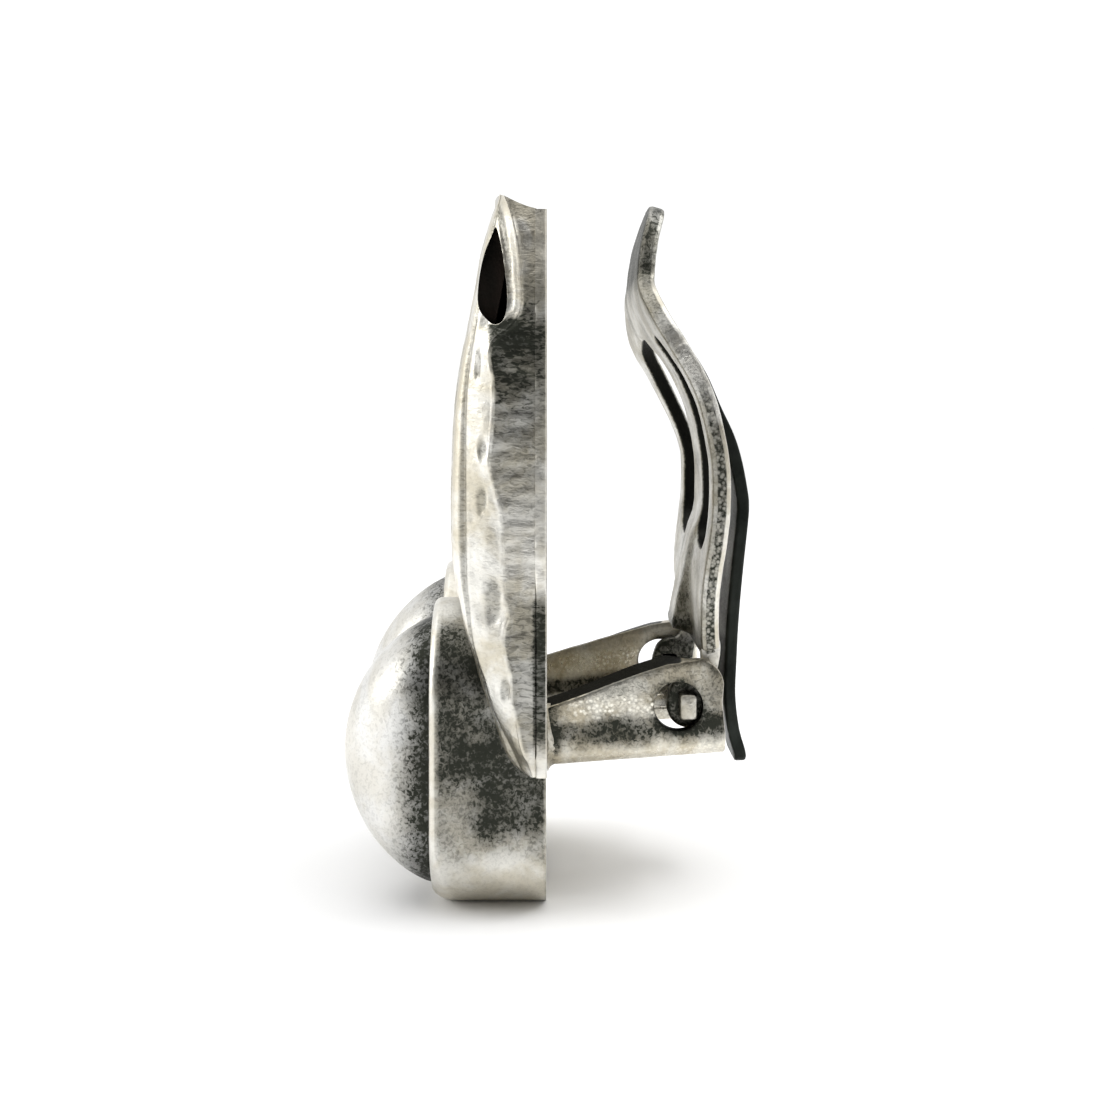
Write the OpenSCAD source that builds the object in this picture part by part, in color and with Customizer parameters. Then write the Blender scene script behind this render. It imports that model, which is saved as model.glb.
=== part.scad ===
// Clip on earring: a hollow hammered panel over two domed lobes, with a sprung paddle clip behind.
// Millimetres. X is the width, the ornament faces -Y, the clip is on the +Y side and Z is up.
// The earring stands on its two lobes, and the back plate's rear face is the plane that the others
// are measured from.

/* [Lobes] */
// Width of one collar
lobe_w = 5.5; // [4.5:0.1:6.5]
// Height of the right collar
lobe_h = 9; // [8.5:0.05:10.5]
// Extra height of the left collar, whose top stands a little higher
left_extra = 0.5; // [0:0.05:0.8]
// Width of the small flat that each collar stands on
foot_flat = 1.2; // [0.8:0.1:1.8]
// Depth of the collars, from the rear face to the rim
collar_depth = 3.4; // [3:0.1:4.4]
// Wall of the collars
collar_wall = 0.5; // [0.4:0.05:0.7]
// Radius of the rounded edge round each collar's rim
rim_round = 0.2; // [0.1:0.05:0.3]
// How far the two collars run into each other where they are soldered
collar_overlap = 0.1; // [0.05:0.05:0.3]
// Height of each dome in front of its collar's rim
dome_rise = 2.75; // [2:0.05:3.2]
// Gap round each dome, inside its collar
dome_gap = 0.03; // [0.02:0.01:0.08]
// How far each dome's shoulder is sunk below the rim
dome_sink = 0.1; // [0.05:0.05:0.3]

/* [Panel] */
// Thickness of the back plate
plate_t = 0.34; // [0.25:0.01:0.5]
// Depth of the back plate's upturned sides
hem_d = 0.45; // [0.4:0.05:0.7]
// Thickness of the panel's sheet
sheet_t = 0.35; // [0.35:0.05:0.45]
// How far the panel's sides stand outside the collars
side_margin = 0.8; // [0.6:0.05:1.5]
// Height of the top edge at the back plate
panel_top = 20.4; // [18:0.05:23]
// Height of the lower end of the panel's two legs
panel_foot = 4.33; // [3.5:0.01:5.5]
// Height at which the panel is deepest
belly_z = 11.4; // [10.5:0.1:13]
// Depth of the panel where it is deepest
belly_depth = 2.68; // [2.3:0.01:3]
// Depth of the panel at its top edge
top_depth = 1.35; // [1:0.05:1.8]
// Depth of the legs at their foot
foot_depth = 0.8; // [0.6:0.01:1.2]
// Rise of the front sheet between its two rims
crown = 0.28; // [0.1:0.01:0.4]
// Width of the bead that edges the front sheet
bead_w = 0.4; // [0.3:0.05:0.6]
// Width of the hammered bevel, seen from the front
bevel_w = 0.6; // [0.4:0.05:0.9]
// Depth of the hammered bevel, seen from the side
bevel_depth = 0.95; // [0.6:0.05:1.1]
// Radius of the hollow in the top edge, seen from the side
top_dip_r = 2.1; // [1.9:0.1:4]
// Thickness of the rib inside the panel
rib_t = 0.4; // [0.3:0.05:0.8]

/* [Mouths] */
// Length of the mouth in each side of the panel
mouth_len = 2.6; // [1.8:0.1:3.2]
// Width of the mouth
mouth_w = 0.8; // [0.5:0.05:1]
// Distance of the mouth's upper point below the panel's top edge
mouth_drop = 0.95; // [0.6:0.05:1.5]
// Land between the mouth and the front of the bead
mouth_land = 0.24; // [0.2:0.02:0.4]

/* [Hinge bracket] */
// Width of the bracket over its two ears
bracket_w = 8; // [7.2:0.1:9]
// Thickness of the bracket's sheet
bracket_t = 0.45; // [0.35:0.05:0.6]
// Outer radius of the two bends at the bottom
bend_r = 0.85; // [0.6:0.05:1]
// Height of the bracket's underside at the back plate
bracket_z = 4.04; // [3.7:0.01:4.6]
// Rise of the bracket's underside, in degrees
bracket_tilt = 4.2; // [0:0.1:6]
// Distance of the hinge axis behind the rear face
hinge_y = 3.89; // [3.5:0.01:5]
// Height of the hinge axis
hinge_z = 5.95; // [5.8:0.01:6.3]
// Radius of the bores in the ears
bore_r = 0.72; // [0.69:0.01:0.78]
// Radius of the ears' rounded corner
ear_r = 0.76; // [0.5:0.02:0.8]
// Distance of the ears' end behind the hinge axis
ear_reach = 1.38; // [1.2:0.01:1.6]
// Height of the ears' top above the hinge axis
ear_top = 1.35; // [1.2:0.01:1.4]
// How far the ears' end leans back towards the bottom
ear_lean = 0.08; // [0:0.01:0.1]
// Height of the solder fillet under the bracket
solder_h = 0.3; // [0.2:0.05:0.5]
// Width of the slot that lets the spring tongue through the bracket's web
web_slot_w = 3.2; // [2.9:0.1:4]
// Length of that slot
web_slot_len = 2.1; // [1.9:0.1:2.6]

/* [Lever] */
// Width of the paddle
lever_w = 10.4; // [9:0.1:12]
// Height of the lever's tip above the hinge axis
lever_rise = 15.25; // [14:0.05:17]
// Distance between the lever's neck and its belly, seen from the side
lever_bow = 2.1; // [1.6:0.05:2.6]
// Thickness of the lever's sheet
lever_t = 0.5; // [0.4:0.05:0.7]
// Width of the flared tip
tip_w = 6.2; // [5:0.1:7.5]
// Width of the lever at its shoulders
shoulder_w = 8.4; // [8:0.1:9]
// Height of the shoulders above the hinge axis
shoulder_rise = 1.63; // [1.58:0.01:1.9]
// Gap between the lever and each ear
ear_gap = 0.14; // [0.1:0.01:0.25]
// Length of the two slots
slot_len = 6.3; // [5:0.1:7.5]
// Width of each slot
slot_w = 2.3; // [1.4:0.1:2.6]
// Width of the bar between the slots
bar_w = 2.4; // [1.8:0.1:3]
// Height of the lower end of the slots above the hinge axis
slot_rise = 4.5; // [4:0.1:5.5]
// Height of the rib that is pressed into the lower part of the bar
rib_h = 0.58; // [0.3:0.02:0.7]

/* [Hinge nubs] */
// Thickness of each nub
nub_t = 0.47; // [0.3:0.01:0.5]
// Height of each nub
nub_h = 0.8; // [0.5:0.01:0.82]
// Distance of each nub's rear face behind the hinge axis
nub_back = 0.52; // [0.3:0.01:0.54]
// How far each nub's middle lies below the hinge axis
nub_drop = 0; // [0:0.01:0.04]
// How far each nub stops inside the ear's outer face
nub_short = 0.06; // [0:0.01:0.15]

/* [Spring tongue] */
// Width of the tongue
tongue_w = 2.4; // [1.8:0.1:2.6]
// Thickness of the tongue
tongue_t = 0.38; // [0.25:0.01:0.45]
// Distance of the tongue's furthest bend behind the hinge axis
tongue_out = 2.3; // [2.1:0.02:2.6]
// Height from the tongue's tail to its root
tongue_len = 13.85; // [13:0.05:14.5]
// Distance of the tongue's tail below the hinge axis
tongue_drop = 2.4; // [2:0.05:2.6]

/* [Hidden] */
// Turned and drilled surfaces, and the long sweeps of the panel
$fn = 64;
SWEEP_FN = 240;
// Extra length of every cutter beyond what it cuts
CUT = 1;
SILVER = "#c9c6bd";
DOME_SILVER = "#d8d6cf";
CLIP_SILVER = "#b9b5a8";

// Places worked out from the sizes above
lobe_pitch = lobe_w - collar_overlap;
foot_cut = (lobe_w - sqrt(pow(lobe_w, 2) - pow(foot_flat, 2))) / 2;
panel_half = lobe_pitch / 2 + lobe_w / 2 + side_margin;
peak_z = panel_top + top_dip_r - sqrt(pow(top_dip_r, 2) - pow(top_depth, 2));
dome_w = lobe_w - 2 * (collar_wall + dome_gap);
ear_inner = bracket_w / 2 - bracket_t;
neck_half = ear_inner - ear_gap;
front_reach = collar_depth + dome_rise;
back_reach = hinge_y + tongue_out + tongue_t / 2;
y_shift = (front_reach - back_reach) / 2;

// Height of a lobe before its foot is cut flat: side is -1 on the left and 1 on the right
function lobe_full(side) = lobe_h + foot_cut + (side < 0 ? left_extra : 0);

// Radius of an arc from its chord's half length and its height
function arc_r(half, rise) = (half * half + rise * rise) / (2 * rise);

// The lever's front face. Columns: height above the hinge axis as a share of lever_rise,
// and distance behind it as a share of lever_bow
LEVER_Z = 0;
LEVER_Y = 1;
LEVER = [
    [1.000, -0.345],
    [0.925, -0.505],
    [0.853, -0.624],
    [0.807, -0.595],
    [0.747, -0.443],
    [0.682, -0.205],
    [0.616, 0.024],
    [0.550, 0.214],
    [0.478, 0.329],
    [0.399, 0.376],
    [0.280, 0.329],
    [0.182, 0.281],
    [0.103, 0.190],
    [0.043, 0.057],
    [-0.033, 0.024]
];

// The lever's outline above its shoulders. Columns: height as a share of lever_rise,
// half width as a share of the tip's half width, and share of the step from the tip to the full width
OUT_Z = 0;
OUT_TIP = 1;
OUT_WIDE = 2;
OUTLINE = [
    [1.000, 0.22, 0.00],
    [0.993, 0.45, 0.00],
    [0.975, 0.70, 0.00],
    [0.945, 0.88, 0.00],
    [0.905, 0.97, 0.00],
    [0.858, 1.00, 0.02],
    [0.805, 1.00, 0.38],
    [0.745, 1.00, 0.82],
    [0.680, 1.00, 1.00],
    [0.345, 1.00, 1.00],
    [0.225, 1.00, 0.82]
];

// The rib pressed into the bar. Columns: height as a share of lever_rise, and share of rib_h
RIB_Z = 0;
RIB_H = 1;
RIB = [
    [0.470, -0.30],
    [0.420, 0.14],
    [0.343, 0.44],
    [0.292, 0.64],
    [0.234, 0.84],
    [0.178, 0.97],
    [0.142, 1.00],
    [0.116, 0.72],
    [0.106, -0.30]
];

// The middle of the spring tongue. Columns: height above its tail as a share of tongue_len,
// and distance behind the hinge axis as a share of tongue_out
TONGUE_Z = 0;
TONGUE_Y = 1;
TONGUE = [
    [1.000, -0.195],
    [0.964, 0.060],
    [0.928, 0.245],
    [0.878, 0.430],
    [0.809, 0.610],
    [0.745, 0.792],
    [0.686, 0.903],
    [0.616, 0.980],
    [0.588, 1.000],
    [0.552, 0.984],
    [0.430, 0.903],
    [0.328, 0.850],
    [0.239, 0.821],
    [0.143, 0.805],
    [0.080, 0.860],
    [0.028, 0.945],
    [0.000, 0.960]
];

// The mouth in the panel's side. Columns: share of mouth_len from its upper point,
// and the front and rear edges as shares of mouth_w
MOUTH_Z = 0;
MOUTH_FRONT = 1;
MOUTH_REAR = 2;
MOUTH_NEAREST = 0.66;
MOUTH = [
    [0.00, 0.52, 0.55],
    [0.20, 0.30, 0.72],
    [0.42, 0.12, 0.86],
    [0.66, 0.00, 0.96],
    [0.84, 0.02, 1.00],
    [0.95, 0.22, 0.84],
    [1.00, 0.46, 0.60]
];

// A smooth curve through a list of points, with a few steps between neighbours
STEPS = 4;
function curve_at(a, b, c, d, t) =
    0.5 * (2 * b + (c - a) * t + (2 * a - 5 * b + 4 * c - d) * t * t
        + (3 * b - a - 3 * c + d) * t * t * t);
function smooth(pts) = concat(
    [for (i = [0 : len(pts) - 2], k = [0 : STEPS - 1])
        curve_at(pts[max(i - 1, 0)], pts[i], pts[i + 1], pts[min(i + 2, len(pts) - 1)], k / STEPS)],
    [pts[len(pts) - 1]]);

// The same curve moved sideways, to the left of its direction
function moved(pts, off) = [for (i = [0 : len(pts) - 1])
    let (d = pts[min(i + 1, len(pts) - 1)] - pts[max(i - 1, 0)])
        pts[i] + off * [-d[1], d[0]] / norm(d)];
function backwards(pts) = [for (i = [len(pts) - 1 : -1 : 0]) pts[i]];

// Side view paths as [y, z], measured from the rear face and the ground
lever_path = smooth([for (r = LEVER)
    [hinge_y + r[LEVER_Y] * lever_bow, hinge_z + r[LEVER_Z] * lever_rise]]);
tongue_path = smooth([for (r = TONGUE)
    [hinge_y + r[TONGUE_Y] * tongue_out, hinge_z - tongue_drop + r[TONGUE_Z] * tongue_len]]);

// The lever's front face at a height
function lever_y(z) = lookup(z, [for (p = lever_path) [p[1], p[0]]]);

// A side view shape in [y, z], with a thickness along X, centred on x
module side_slab(x, thickness) {
    translate([x - thickness / 2, 0, 0])
        rotate([90, 0, 90])
            linear_extrude(height = thickness)
                children();
}

// A front view shape in [x, z], from y0 to y1
module front_slab(y0, y1) {
    translate([0, y1, 0])
        rotate([90, 0, 0])
            linear_extrude(height = y1 - y0)
                children();
}

// A column with a stadium outline in the front view, from y0 to y1, standing on z0
module stadium(w, h, z0, y0, y1) {
    r = w / 2;
    front_slab(y0, y1) {
        translate([0, z0 + r])
            circle(r);
        translate([0, z0 + h - r])
            circle(r);
        translate([-r, z0 + r])
            square([w, h - w]);
    }
}

// Half the section of a collar's outside, as [distance from its middle, depth]
module collar_profile() {
    r = lobe_w / 2;
    square([r, collar_depth - rim_round]);
    square([r - rim_round, collar_depth]);
    translate([r - rim_round, collar_depth - rim_round])
        circle(rim_round);
}

// A collar's outside: two round ends and the straight stretch between them
module collar_body(side) {
    r = lobe_w / 2;
    translate([side * lobe_pitch / 2, 0, -foot_cut]) {
        for (z = [r, lobe_full(side) - r])
            translate([0, 0, z])
                rotate([90, 0, 0])
                    rotate_extrude()
                        intersection() {
                            collar_profile();
                            square([r, collar_depth]);
                        }
        translate([0, 0, r])
            linear_extrude(height = lobe_full(side) - lobe_w)
                for (half = [0, 1])
                    mirror([half, 0])
                        scale([1, -1])
                            collar_profile();
    }
}

// What is cut off under the two collars
module foot_plane() {
    translate([-2 * lobe_w, -collar_depth - CUT, -foot_cut - CUT])
        cube([4 * lobe_w, collar_depth + 2 * CUT, foot_cut + CUT]);
}

// The inside of a collar, within its wall or a part of it, as far back as rear
module collar_hollow(side, wall, rear) {
    translate([side * lobe_pitch / 2, 0, 0])
        stadium(lobe_w - 2 * wall, lobe_full(side) - 2 * wall, wall - foot_cut,
            -collar_depth - CUT, rear);
}

// The panel's section in [radius, x]: a crowned front with a bead and a bevel at each side.
// inset moves it inward by the thickness of the sheet.
CROWN_STEPS = 5;
module panel_section(radius, inset) {
    reach = belly_depth + bevel_depth + CUT;
    flat = panel_half - bevel_w - bead_w;
    bead = panel_half - bevel_w;
    front = [for (i = [0 : CROWN_STEPS])
        let (t = i / CROWN_STEPS)
            [radius + crown * (1 - t * t) - inset, (flat - inset / 2) * t]];
    edge = [
        [radius - inset, flat + bead_w * 0.45 - inset / 2],
        [radius - bead_w * 0.35 - inset, bead - inset / 2],
        [radius - bead_w - inset, bead + 0.02 - inset / 2],
        [radius - bead_w - bevel_depth - inset / 2, panel_half - inset],
        [radius - reach, panel_half - inset]
    ];
    half = concat(front, edge);
    polygon(concat(half, [for (p = backwards(half)) [p[0], -p[1]]]));
}

// One of the two sweeps that give the panel its side view: depth_end is its depth at z_end
module panel_sweep(z_end, depth_end, inset) {
    radius = arc_r(abs(z_end - belly_z), belly_depth - depth_end);
    translate([0, radius - belly_depth, belly_z])
        rotate([0, 90, 0])
            rotate_extrude($fn = SWEEP_FN)
                panel_section(radius, inset);
}

// The panel's body from z0 to z1, in front of y = rear
module panel_body(z0, z1, rear, inset) {
    wide = panel_half + CUT;
    deep = belly_depth + crown + CUT;
    intersection() {
        panel_sweep(peak_z, top_depth, inset);
        translate([-wide, -deep, belly_z])
            cube([2 * wide, deep - rear, z1 - belly_z]);
    }
    intersection() {
        panel_sweep(panel_foot, foot_depth, inset);
        translate([-wide, -deep, z0])
            cube([2 * wide, deep - rear, belly_z - z0]);
    }
}

// The hollow in the panel's top edge, made larger by extra
module top_dip(extra) {
    translate([-panel_half - CUT, 0, panel_top + top_dip_r])
        rotate([0, 90, 0])
            cylinder(r = top_dip_r + extra, h = 2 * (panel_half + CUT), $fn = SWEEP_FN / 2);
}

// The mouth in [y, z], along the bead where its front edge comes nearest it
module mouth_outline() {
    top = peak_z - mouth_drop;
    front = -belly_depth + mouth_land + pow(top - MOUTH_NEAREST * mouth_len - belly_z, 2)
        / (2 * arc_r(peak_z - belly_z, belly_depth - top_depth));
    polygon(concat(
        [for (r = MOUTH) [front + r[MOUTH_FRONT] * mouth_w, top - r[MOUTH_Z] * mouth_len]],
        backwards([for (r = MOUTH) [front + r[MOUTH_REAR] * mouth_w, top - r[MOUTH_Z] * mouth_len]])));
}

// The panel: a hollow shell with a rib in the middle, cut away round the two collars
module panel() {
    difference() {
        panel_body(panel_foot, peak_z + CUT, 0, 0);
        difference() {
            panel_body(panel_foot - CUT, peak_z, plate_t, sheet_t);
            translate([-rib_t / 2, -belly_depth - CUT, 0])
                cube([rib_t, belly_depth + CUT, peak_z]);
            top_dip(sheet_t);
        }
        top_dip(0);
        for (side = [-1, 1])
            side_slab(side * panel_half, 2 * (bevel_w + bead_w))
                mouth_outline();
        for (side = [-1, 1])
            collar_hollow(side, collar_wall / 2, -plate_t / 2);
    }
}

// The flat plate behind the panel, with its two sides turned up
module back_plate() {
    tall = peak_z - panel_foot;
    difference() {
        union() {
            translate([-panel_half, -plate_t, panel_foot])
                cube([2 * panel_half, plate_t, tall]);
            for (side = [0, 1])
                mirror([side, 0, 0])
                    translate([panel_half - sheet_t, -hem_d, panel_foot])
                        cube([sheet_t, hem_d, tall]);
        }
        top_dip(0);
    }
}

// The bracket's section in [x, z]: a U with rounded bends
module channel_section() {
    half = bracket_w / 2;
    tall = hinge_z + ear_top - bracket_z + CUT;
    difference() {
        bent_block(half, bend_r, tall);
        translate([0, bracket_t])
            bent_block(ear_inner, bend_r - bracket_t, tall);
    }
}

module bent_block(half, r, tall) {
    translate([-half, r])
        square([2 * half, tall - r]);
    translate([r - half, 0])
        square([2 * (half - r), r + CUT]);
    for (side = [-1, 1])
        translate([side * (half - r), r])
            circle(r);
}

// The ear's outline in [y, z]
module ear_outline() {
    top = hinge_z + ear_top;
    end = hinge_y + ear_reach;
    union() {
        polygon([
            [-plate_t / 2, bracket_z - solder_h],
            [0, bracket_z - solder_h],
            [solder_h, bracket_z],
            [solder_h, bracket_z - CUT],
            [end + ear_lean, bracket_z - CUT],
            [end, top - ear_r],
            [end - ear_r, top],
            [end - 1.3 * ear_r, top - 0.04 * ear_r],
            [0, hinge_z + 0.16 * ear_top],
            [-plate_t / 2, hinge_z + 0.16 * ear_top]
        ]);
        translate([end - ear_r, top - ear_r])
            circle(ear_r);
    }
}

module hinge_bracket() {
    end = hinge_y + ear_reach;
    difference() {
        intersection() {
            translate([0, 0, bracket_z])
                rotate([bracket_tilt, 0, 0])
                    front_slab(-CUT, end + CUT)
                        channel_section();
            side_slab(0, bracket_w + CUT)
                ear_outline();
        }
        translate([-bracket_w / 2 - CUT, hinge_y, hinge_z])
            rotate([0, 90, 0])
                cylinder(r = bore_r, h = bracket_w + 2 * CUT);
        translate([-web_slot_w / 2, end - web_slot_len, bracket_z - CUT])
            cube([web_slot_w, web_slot_len + CUT, CUT + bend_r + bracket_t]);
    }
}

module setting() {
    color(SILVER)
        translate([0, y_shift, 0]) {
            panel();
            back_plate();
            difference() {
                for (side = [-1, 1])
                    collar_body(side);
                for (side = [-1, 1])
                    collar_hollow(side, collar_wall, -plate_t);
                foot_plane();
            }
            hinge_bracket();
        }
}

// A dome: a stadium column in its collar, and a turned front whose side view is one arc
module dome(side) {
    dome_h = lobe_full(side) - 2 * (collar_wall + dome_gap);
    side_r = arc_r(dome_h / 2, dome_rise);
    end_r = arc_r(dome_w / 2, dome_rise);
    base = collar_wall + dome_gap - foot_cut;
    color(DOME_SILVER)
        translate([side * lobe_pitch / 2, y_shift, 0]) {
            stadium(dome_w, dome_h, base, dome_sink - collar_depth, -plate_t - dome_gap);
            intersection() {
                stadium(dome_w, dome_h, base, -front_reach - CUT, -plate_t - dome_gap);
                translate([0, side_r - front_reach, base + dome_h / 2])
                    rotate([0, 90, 0])
                        rotate_extrude($fn = 2 * $fn)
                            intersection() {
                                union() {
                                    translate([side_r - end_r, 0])
                                        circle(end_r);
                                    translate([0, -end_r])
                                        square([side_r - end_r, 2 * end_r]);
                                }
                                translate([0, -end_r])
                                    square([side_r, 2 * end_r]);
                            }
            }
        }
}

module dome_left() {
    dome(-1);
}

module dome_right() {
    dome(1);
}

// The lever's outline in [x, z]: tip, paddle, shoulders and the neck between the ears
module lever_outline() {
    bottom = hinge_z + LEVER[len(LEVER) - 1][LEVER_Z] * lever_rise;
    step = (lever_w - tip_w) / 2;
    shoulder_z = hinge_z + shoulder_rise;
    upper = smooth([for (r = OUTLINE)
        [r[OUT_TIP] * tip_w / 2 + r[OUT_WIDE] * step, hinge_z + r[OUT_Z] * lever_rise]]);
    lower = [
        [shoulder_w / 2, shoulder_z],
        [neck_half, shoulder_z],
        [neck_half, bottom]
    ];
    half = concat(upper, lower);
    polygon(concat(half, [for (p = backwards(half)) [-p[0], p[1]]]));
}

module lever_slots() {
    for (side = [-1, 1])
        translate([side * (bar_w + slot_w) / 2, 0])
            stadium_outline(slot_w, slot_len, hinge_z + slot_rise);
}

module stadium_outline(w, h, z0) {
    r = w / 2;
    translate([0, z0 + r])
        circle(r);
    translate([0, z0 + h - r])
        circle(r);
    translate([-r, z0 + r])
        square([w, h - w]);
}

module lever_rib() {
    rows = smooth([for (r = RIB) [r[RIB_H] * rib_h, hinge_z + r[RIB_Z] * lever_rise]]);
    side_slab(0, bar_w)
        polygon(concat(
            [for (r = rows) [lever_y(r[1]) - r[0], r[1]]],
            backwards([for (r = rows) [lever_y(r[1]) + lever_t / 2, r[1]]])));
}

module hinge_nubs() {
    reach = bracket_w / 2 - nub_short;
    for (side = [0, 1])
        mirror([side, 0, 0])
            translate([neck_half - lever_t, hinge_y + nub_back - nub_t, hinge_z - nub_drop - nub_h / 2])
                cube([reach - neck_half + lever_t, nub_t, nub_h]);
}

module spring_tongue() {
    side_slab(0, tongue_w)
        polygon(concat(moved(tongue_path, tongue_t / 2), backwards(moved(tongue_path, -tongue_t / 2))));
}

module clip_lever() {
    color(CLIP_SILVER)
        translate([0, y_shift, 0]) {
            intersection() {
                side_slab(0, lever_w + CUT)
                    polygon(concat(lever_path, backwards(moved(lever_path, lever_t))));
                front_slab(-CUT, back_reach + CUT)
                    difference() {
                        lever_outline();
                        lever_slots();
                    }
            }
            lever_rib();
            hinge_nubs();
            spring_tongue();
        }
}

setting();
dome_left();
dome_right();
clip_lever();
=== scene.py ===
"""Clip on earring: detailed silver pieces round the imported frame.

Shapes are worked out in millimetres from the back plate's rear face (y = 0) and the ground (z = 0),
then moved into the frame and scaled to metres by piece().
"""
import math

import bmesh
import bpy
import numpy as np
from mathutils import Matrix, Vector, noise
from mathutils.geometry import delaunay_2d_cdt


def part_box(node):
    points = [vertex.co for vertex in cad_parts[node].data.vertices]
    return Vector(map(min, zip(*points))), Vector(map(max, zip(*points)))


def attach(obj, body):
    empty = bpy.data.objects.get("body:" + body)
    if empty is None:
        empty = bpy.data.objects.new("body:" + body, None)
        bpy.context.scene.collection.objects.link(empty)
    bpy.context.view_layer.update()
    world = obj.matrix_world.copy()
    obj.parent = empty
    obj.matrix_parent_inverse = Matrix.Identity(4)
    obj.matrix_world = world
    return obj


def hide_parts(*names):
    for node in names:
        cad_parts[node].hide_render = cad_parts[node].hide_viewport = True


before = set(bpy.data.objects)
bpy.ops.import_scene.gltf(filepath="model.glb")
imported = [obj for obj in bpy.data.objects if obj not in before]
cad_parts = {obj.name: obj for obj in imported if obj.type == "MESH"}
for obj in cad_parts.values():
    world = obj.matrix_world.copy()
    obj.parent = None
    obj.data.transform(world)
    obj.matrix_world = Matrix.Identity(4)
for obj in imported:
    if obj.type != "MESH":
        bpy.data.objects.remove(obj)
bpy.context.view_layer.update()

MM = 0.001
FRONT_REACH = 6.15
Y_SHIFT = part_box("dome_left")[0].y / MM + FRONT_REACH

# Sizes in millimetres
STAND_Z = 0.235
PANEL_X = 6.25
PLATE_T = 0.34
LOBE_W = 5.5
LOBE_TOP = {-1: 9.735, 1: 9.235}
LOBE_LOW = STAND_Z - 0.066
LOBE_X = 2.7
COLLAR_DEPTH = 3.4
COLLAR_WALL = 0.5
DOME_GAP = 0.03
DOME_RISE = 2.75
HINGE = (3.89, 6.185)
BRACKET_Z = 4.275
BRACKET_TILT = math.radians(4.2)
BRACKET_HALF = 4.0
BRACKET_T = 0.45
BEND_R = 0.85
BORE_R = 0.72
LEVER_T = 0.53
TONGUE_T = 0.38


# Helpers
def smoothstep(a, b, v):
    t = np.clip((v - a) / (b - a), 0, 1)
    return t * t * (3 - 2 * t)


def spline_piece(a, b, c, d, steps):
    """Points of a smooth curve from b towards c, with a before and d after."""
    out = []
    for k in range(steps):
        t = k / steps
        out.append(0.5 * (2 * b + (c - a) * t + (2 * a - 5 * b + 4 * c - d) * t * t
                          + (3 * b - a - 3 * c + d) * t ** 3))
    return out


def catmull(points, steps):
    """A smooth curve through points, with steps between neighbours."""
    p = np.array(points, float)
    out = []
    for i in range(len(p) - 1):
        out += spline_piece(p[max(i - 1, 0)], p[i], p[i + 1], p[min(i + 2, len(p) - 1)], steps)
    return np.array(out + [p[-1]])


def catmull_closed(points, steps):
    """The same, as a closed loop."""
    p = np.array(points, float)
    n = len(p)
    out = []
    for i in range(n):
        out += spline_piece(p[i - 1], p[i], p[(i + 1) % n], p[(i + 2) % n], steps)
    return np.array(out)


def resample(points, spacing):
    """Points along a closed polyline at about an even spacing, corners kept."""
    p = np.array(points, float)
    out = []
    for a, b in zip(p, np.roll(p, -1, 0)):
        length = np.linalg.norm(b - a)
        if length < 1e-9:
            continue
        count = max(1, int(round(length / spacing)))
        out.extend(a + (b - a) * k / count for k in range(count))
    return np.array(out)


def arc(cx, cy, r, a0, a1, n):
    """Points on an arc, angles in degrees."""
    return [(cx + r * math.cos(math.radians(a0 + (a1 - a0) * i / n)),
             cy + r * math.sin(math.radians(a0 + (a1 - a0) * i / n))) for i in range(n + 1)]


def fillet(points, radii, steps=5):
    """A closed polygon with its corners rounded by the given radii."""
    p = np.array(points, float)
    n = len(p)
    out = []
    for i in range(n):
        r = radii[i]
        b = p[i]
        if r <= 0:
            out.append(tuple(b))
            continue
        u = p[i - 1] - b
        v = p[(i + 1) % n] - b
        lu, lv = np.linalg.norm(u), np.linalg.norm(v)
        u, v = u / lu, v / lv
        half = math.acos(max(-1, min(1, float(u @ v)))) / 2
        cut = min(r / math.tan(half), 0.45 * lu, 0.45 * lv)
        a, c = b + u * cut, b + v * cut
        for k in range(steps + 1):
            t = k / steps
            out.append(tuple((1 - t) ** 2 * a + 2 * t * (1 - t) * b + t * t * c))
    return out


def fractal(x, y, z, scale, octaves=3):
    """Smooth noise about 0, the same on every run."""
    return noise.fractal(Vector((x / scale, y / scale, z / scale)), 1.0, 2.0, octaves)


def dimples(x, y, z, cell, seed=0.0):
    """Hammer marks: 0 at a mark's middle, towards 1 on the ridges between marks."""
    d = noise.voronoi(Vector((x / cell + seed, y / cell + 3.1 * seed, z / cell - seed)))[0]
    return min(1.0, (d[0] / max(d[1], 1e-6)) ** 2)


def tone(rows, value):
    """A share read off a list of [place, share]."""
    return float(np.interp(value, *zip(*rows)))


def share(value):
    return float(min(1.0, max(0.0, value)))


# Darkening share that paints black shade into a cut wall or gap
BLACK_SHADE_SHARE = 1.6


def add_object(name, data):
    obj = bpy.data.objects.new(name, data)
    bpy.context.scene.collection.objects.link(obj)
    return obj


def new_object(name, verts, faces, material, shares):
    """An object from millimetres. shares holds one value per vertex under each attribute's name."""
    mesh = bpy.data.meshes.new(name)
    v = np.array(verts, float) + (0, Y_SHIFT, -STAND_Z)
    v *= MM
    mesh.from_pydata(v.tolist(), [], [tuple(int(i) for i in f) for f in faces])
    for key, values in shares.items():
        attribute = mesh.attributes.new(key, "FLOAT", "POINT")
        attribute.data.foreach_set("value", np.array(values, np.float32))
    bm = bmesh.new()
    bm.from_mesh(mesh)
    bmesh.ops.recalc_face_normals(bm, faces=bm.faces)
    bm.to_mesh(mesh)
    bm.free()
    mesh.update()
    mesh.materials.append(material)
    return add_object(name, mesh)


def piece(name, verts, faces, material, body, slot, sharp, dark, glints=None):
    """A closed mesh that rides on its body. sharp is the angle past which an edge stays crisp.

    dark is tarnish and painted shade, and the last argument is painted glints, each a share per vertex.
    """
    shares = {"dark": dark}
    if glints is not None:
        shares["glints"] = glints
    obj = new_object(name, verts, faces, material, shares)
    shade(obj, sharp)
    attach(obj, body)
    return obj


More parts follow.
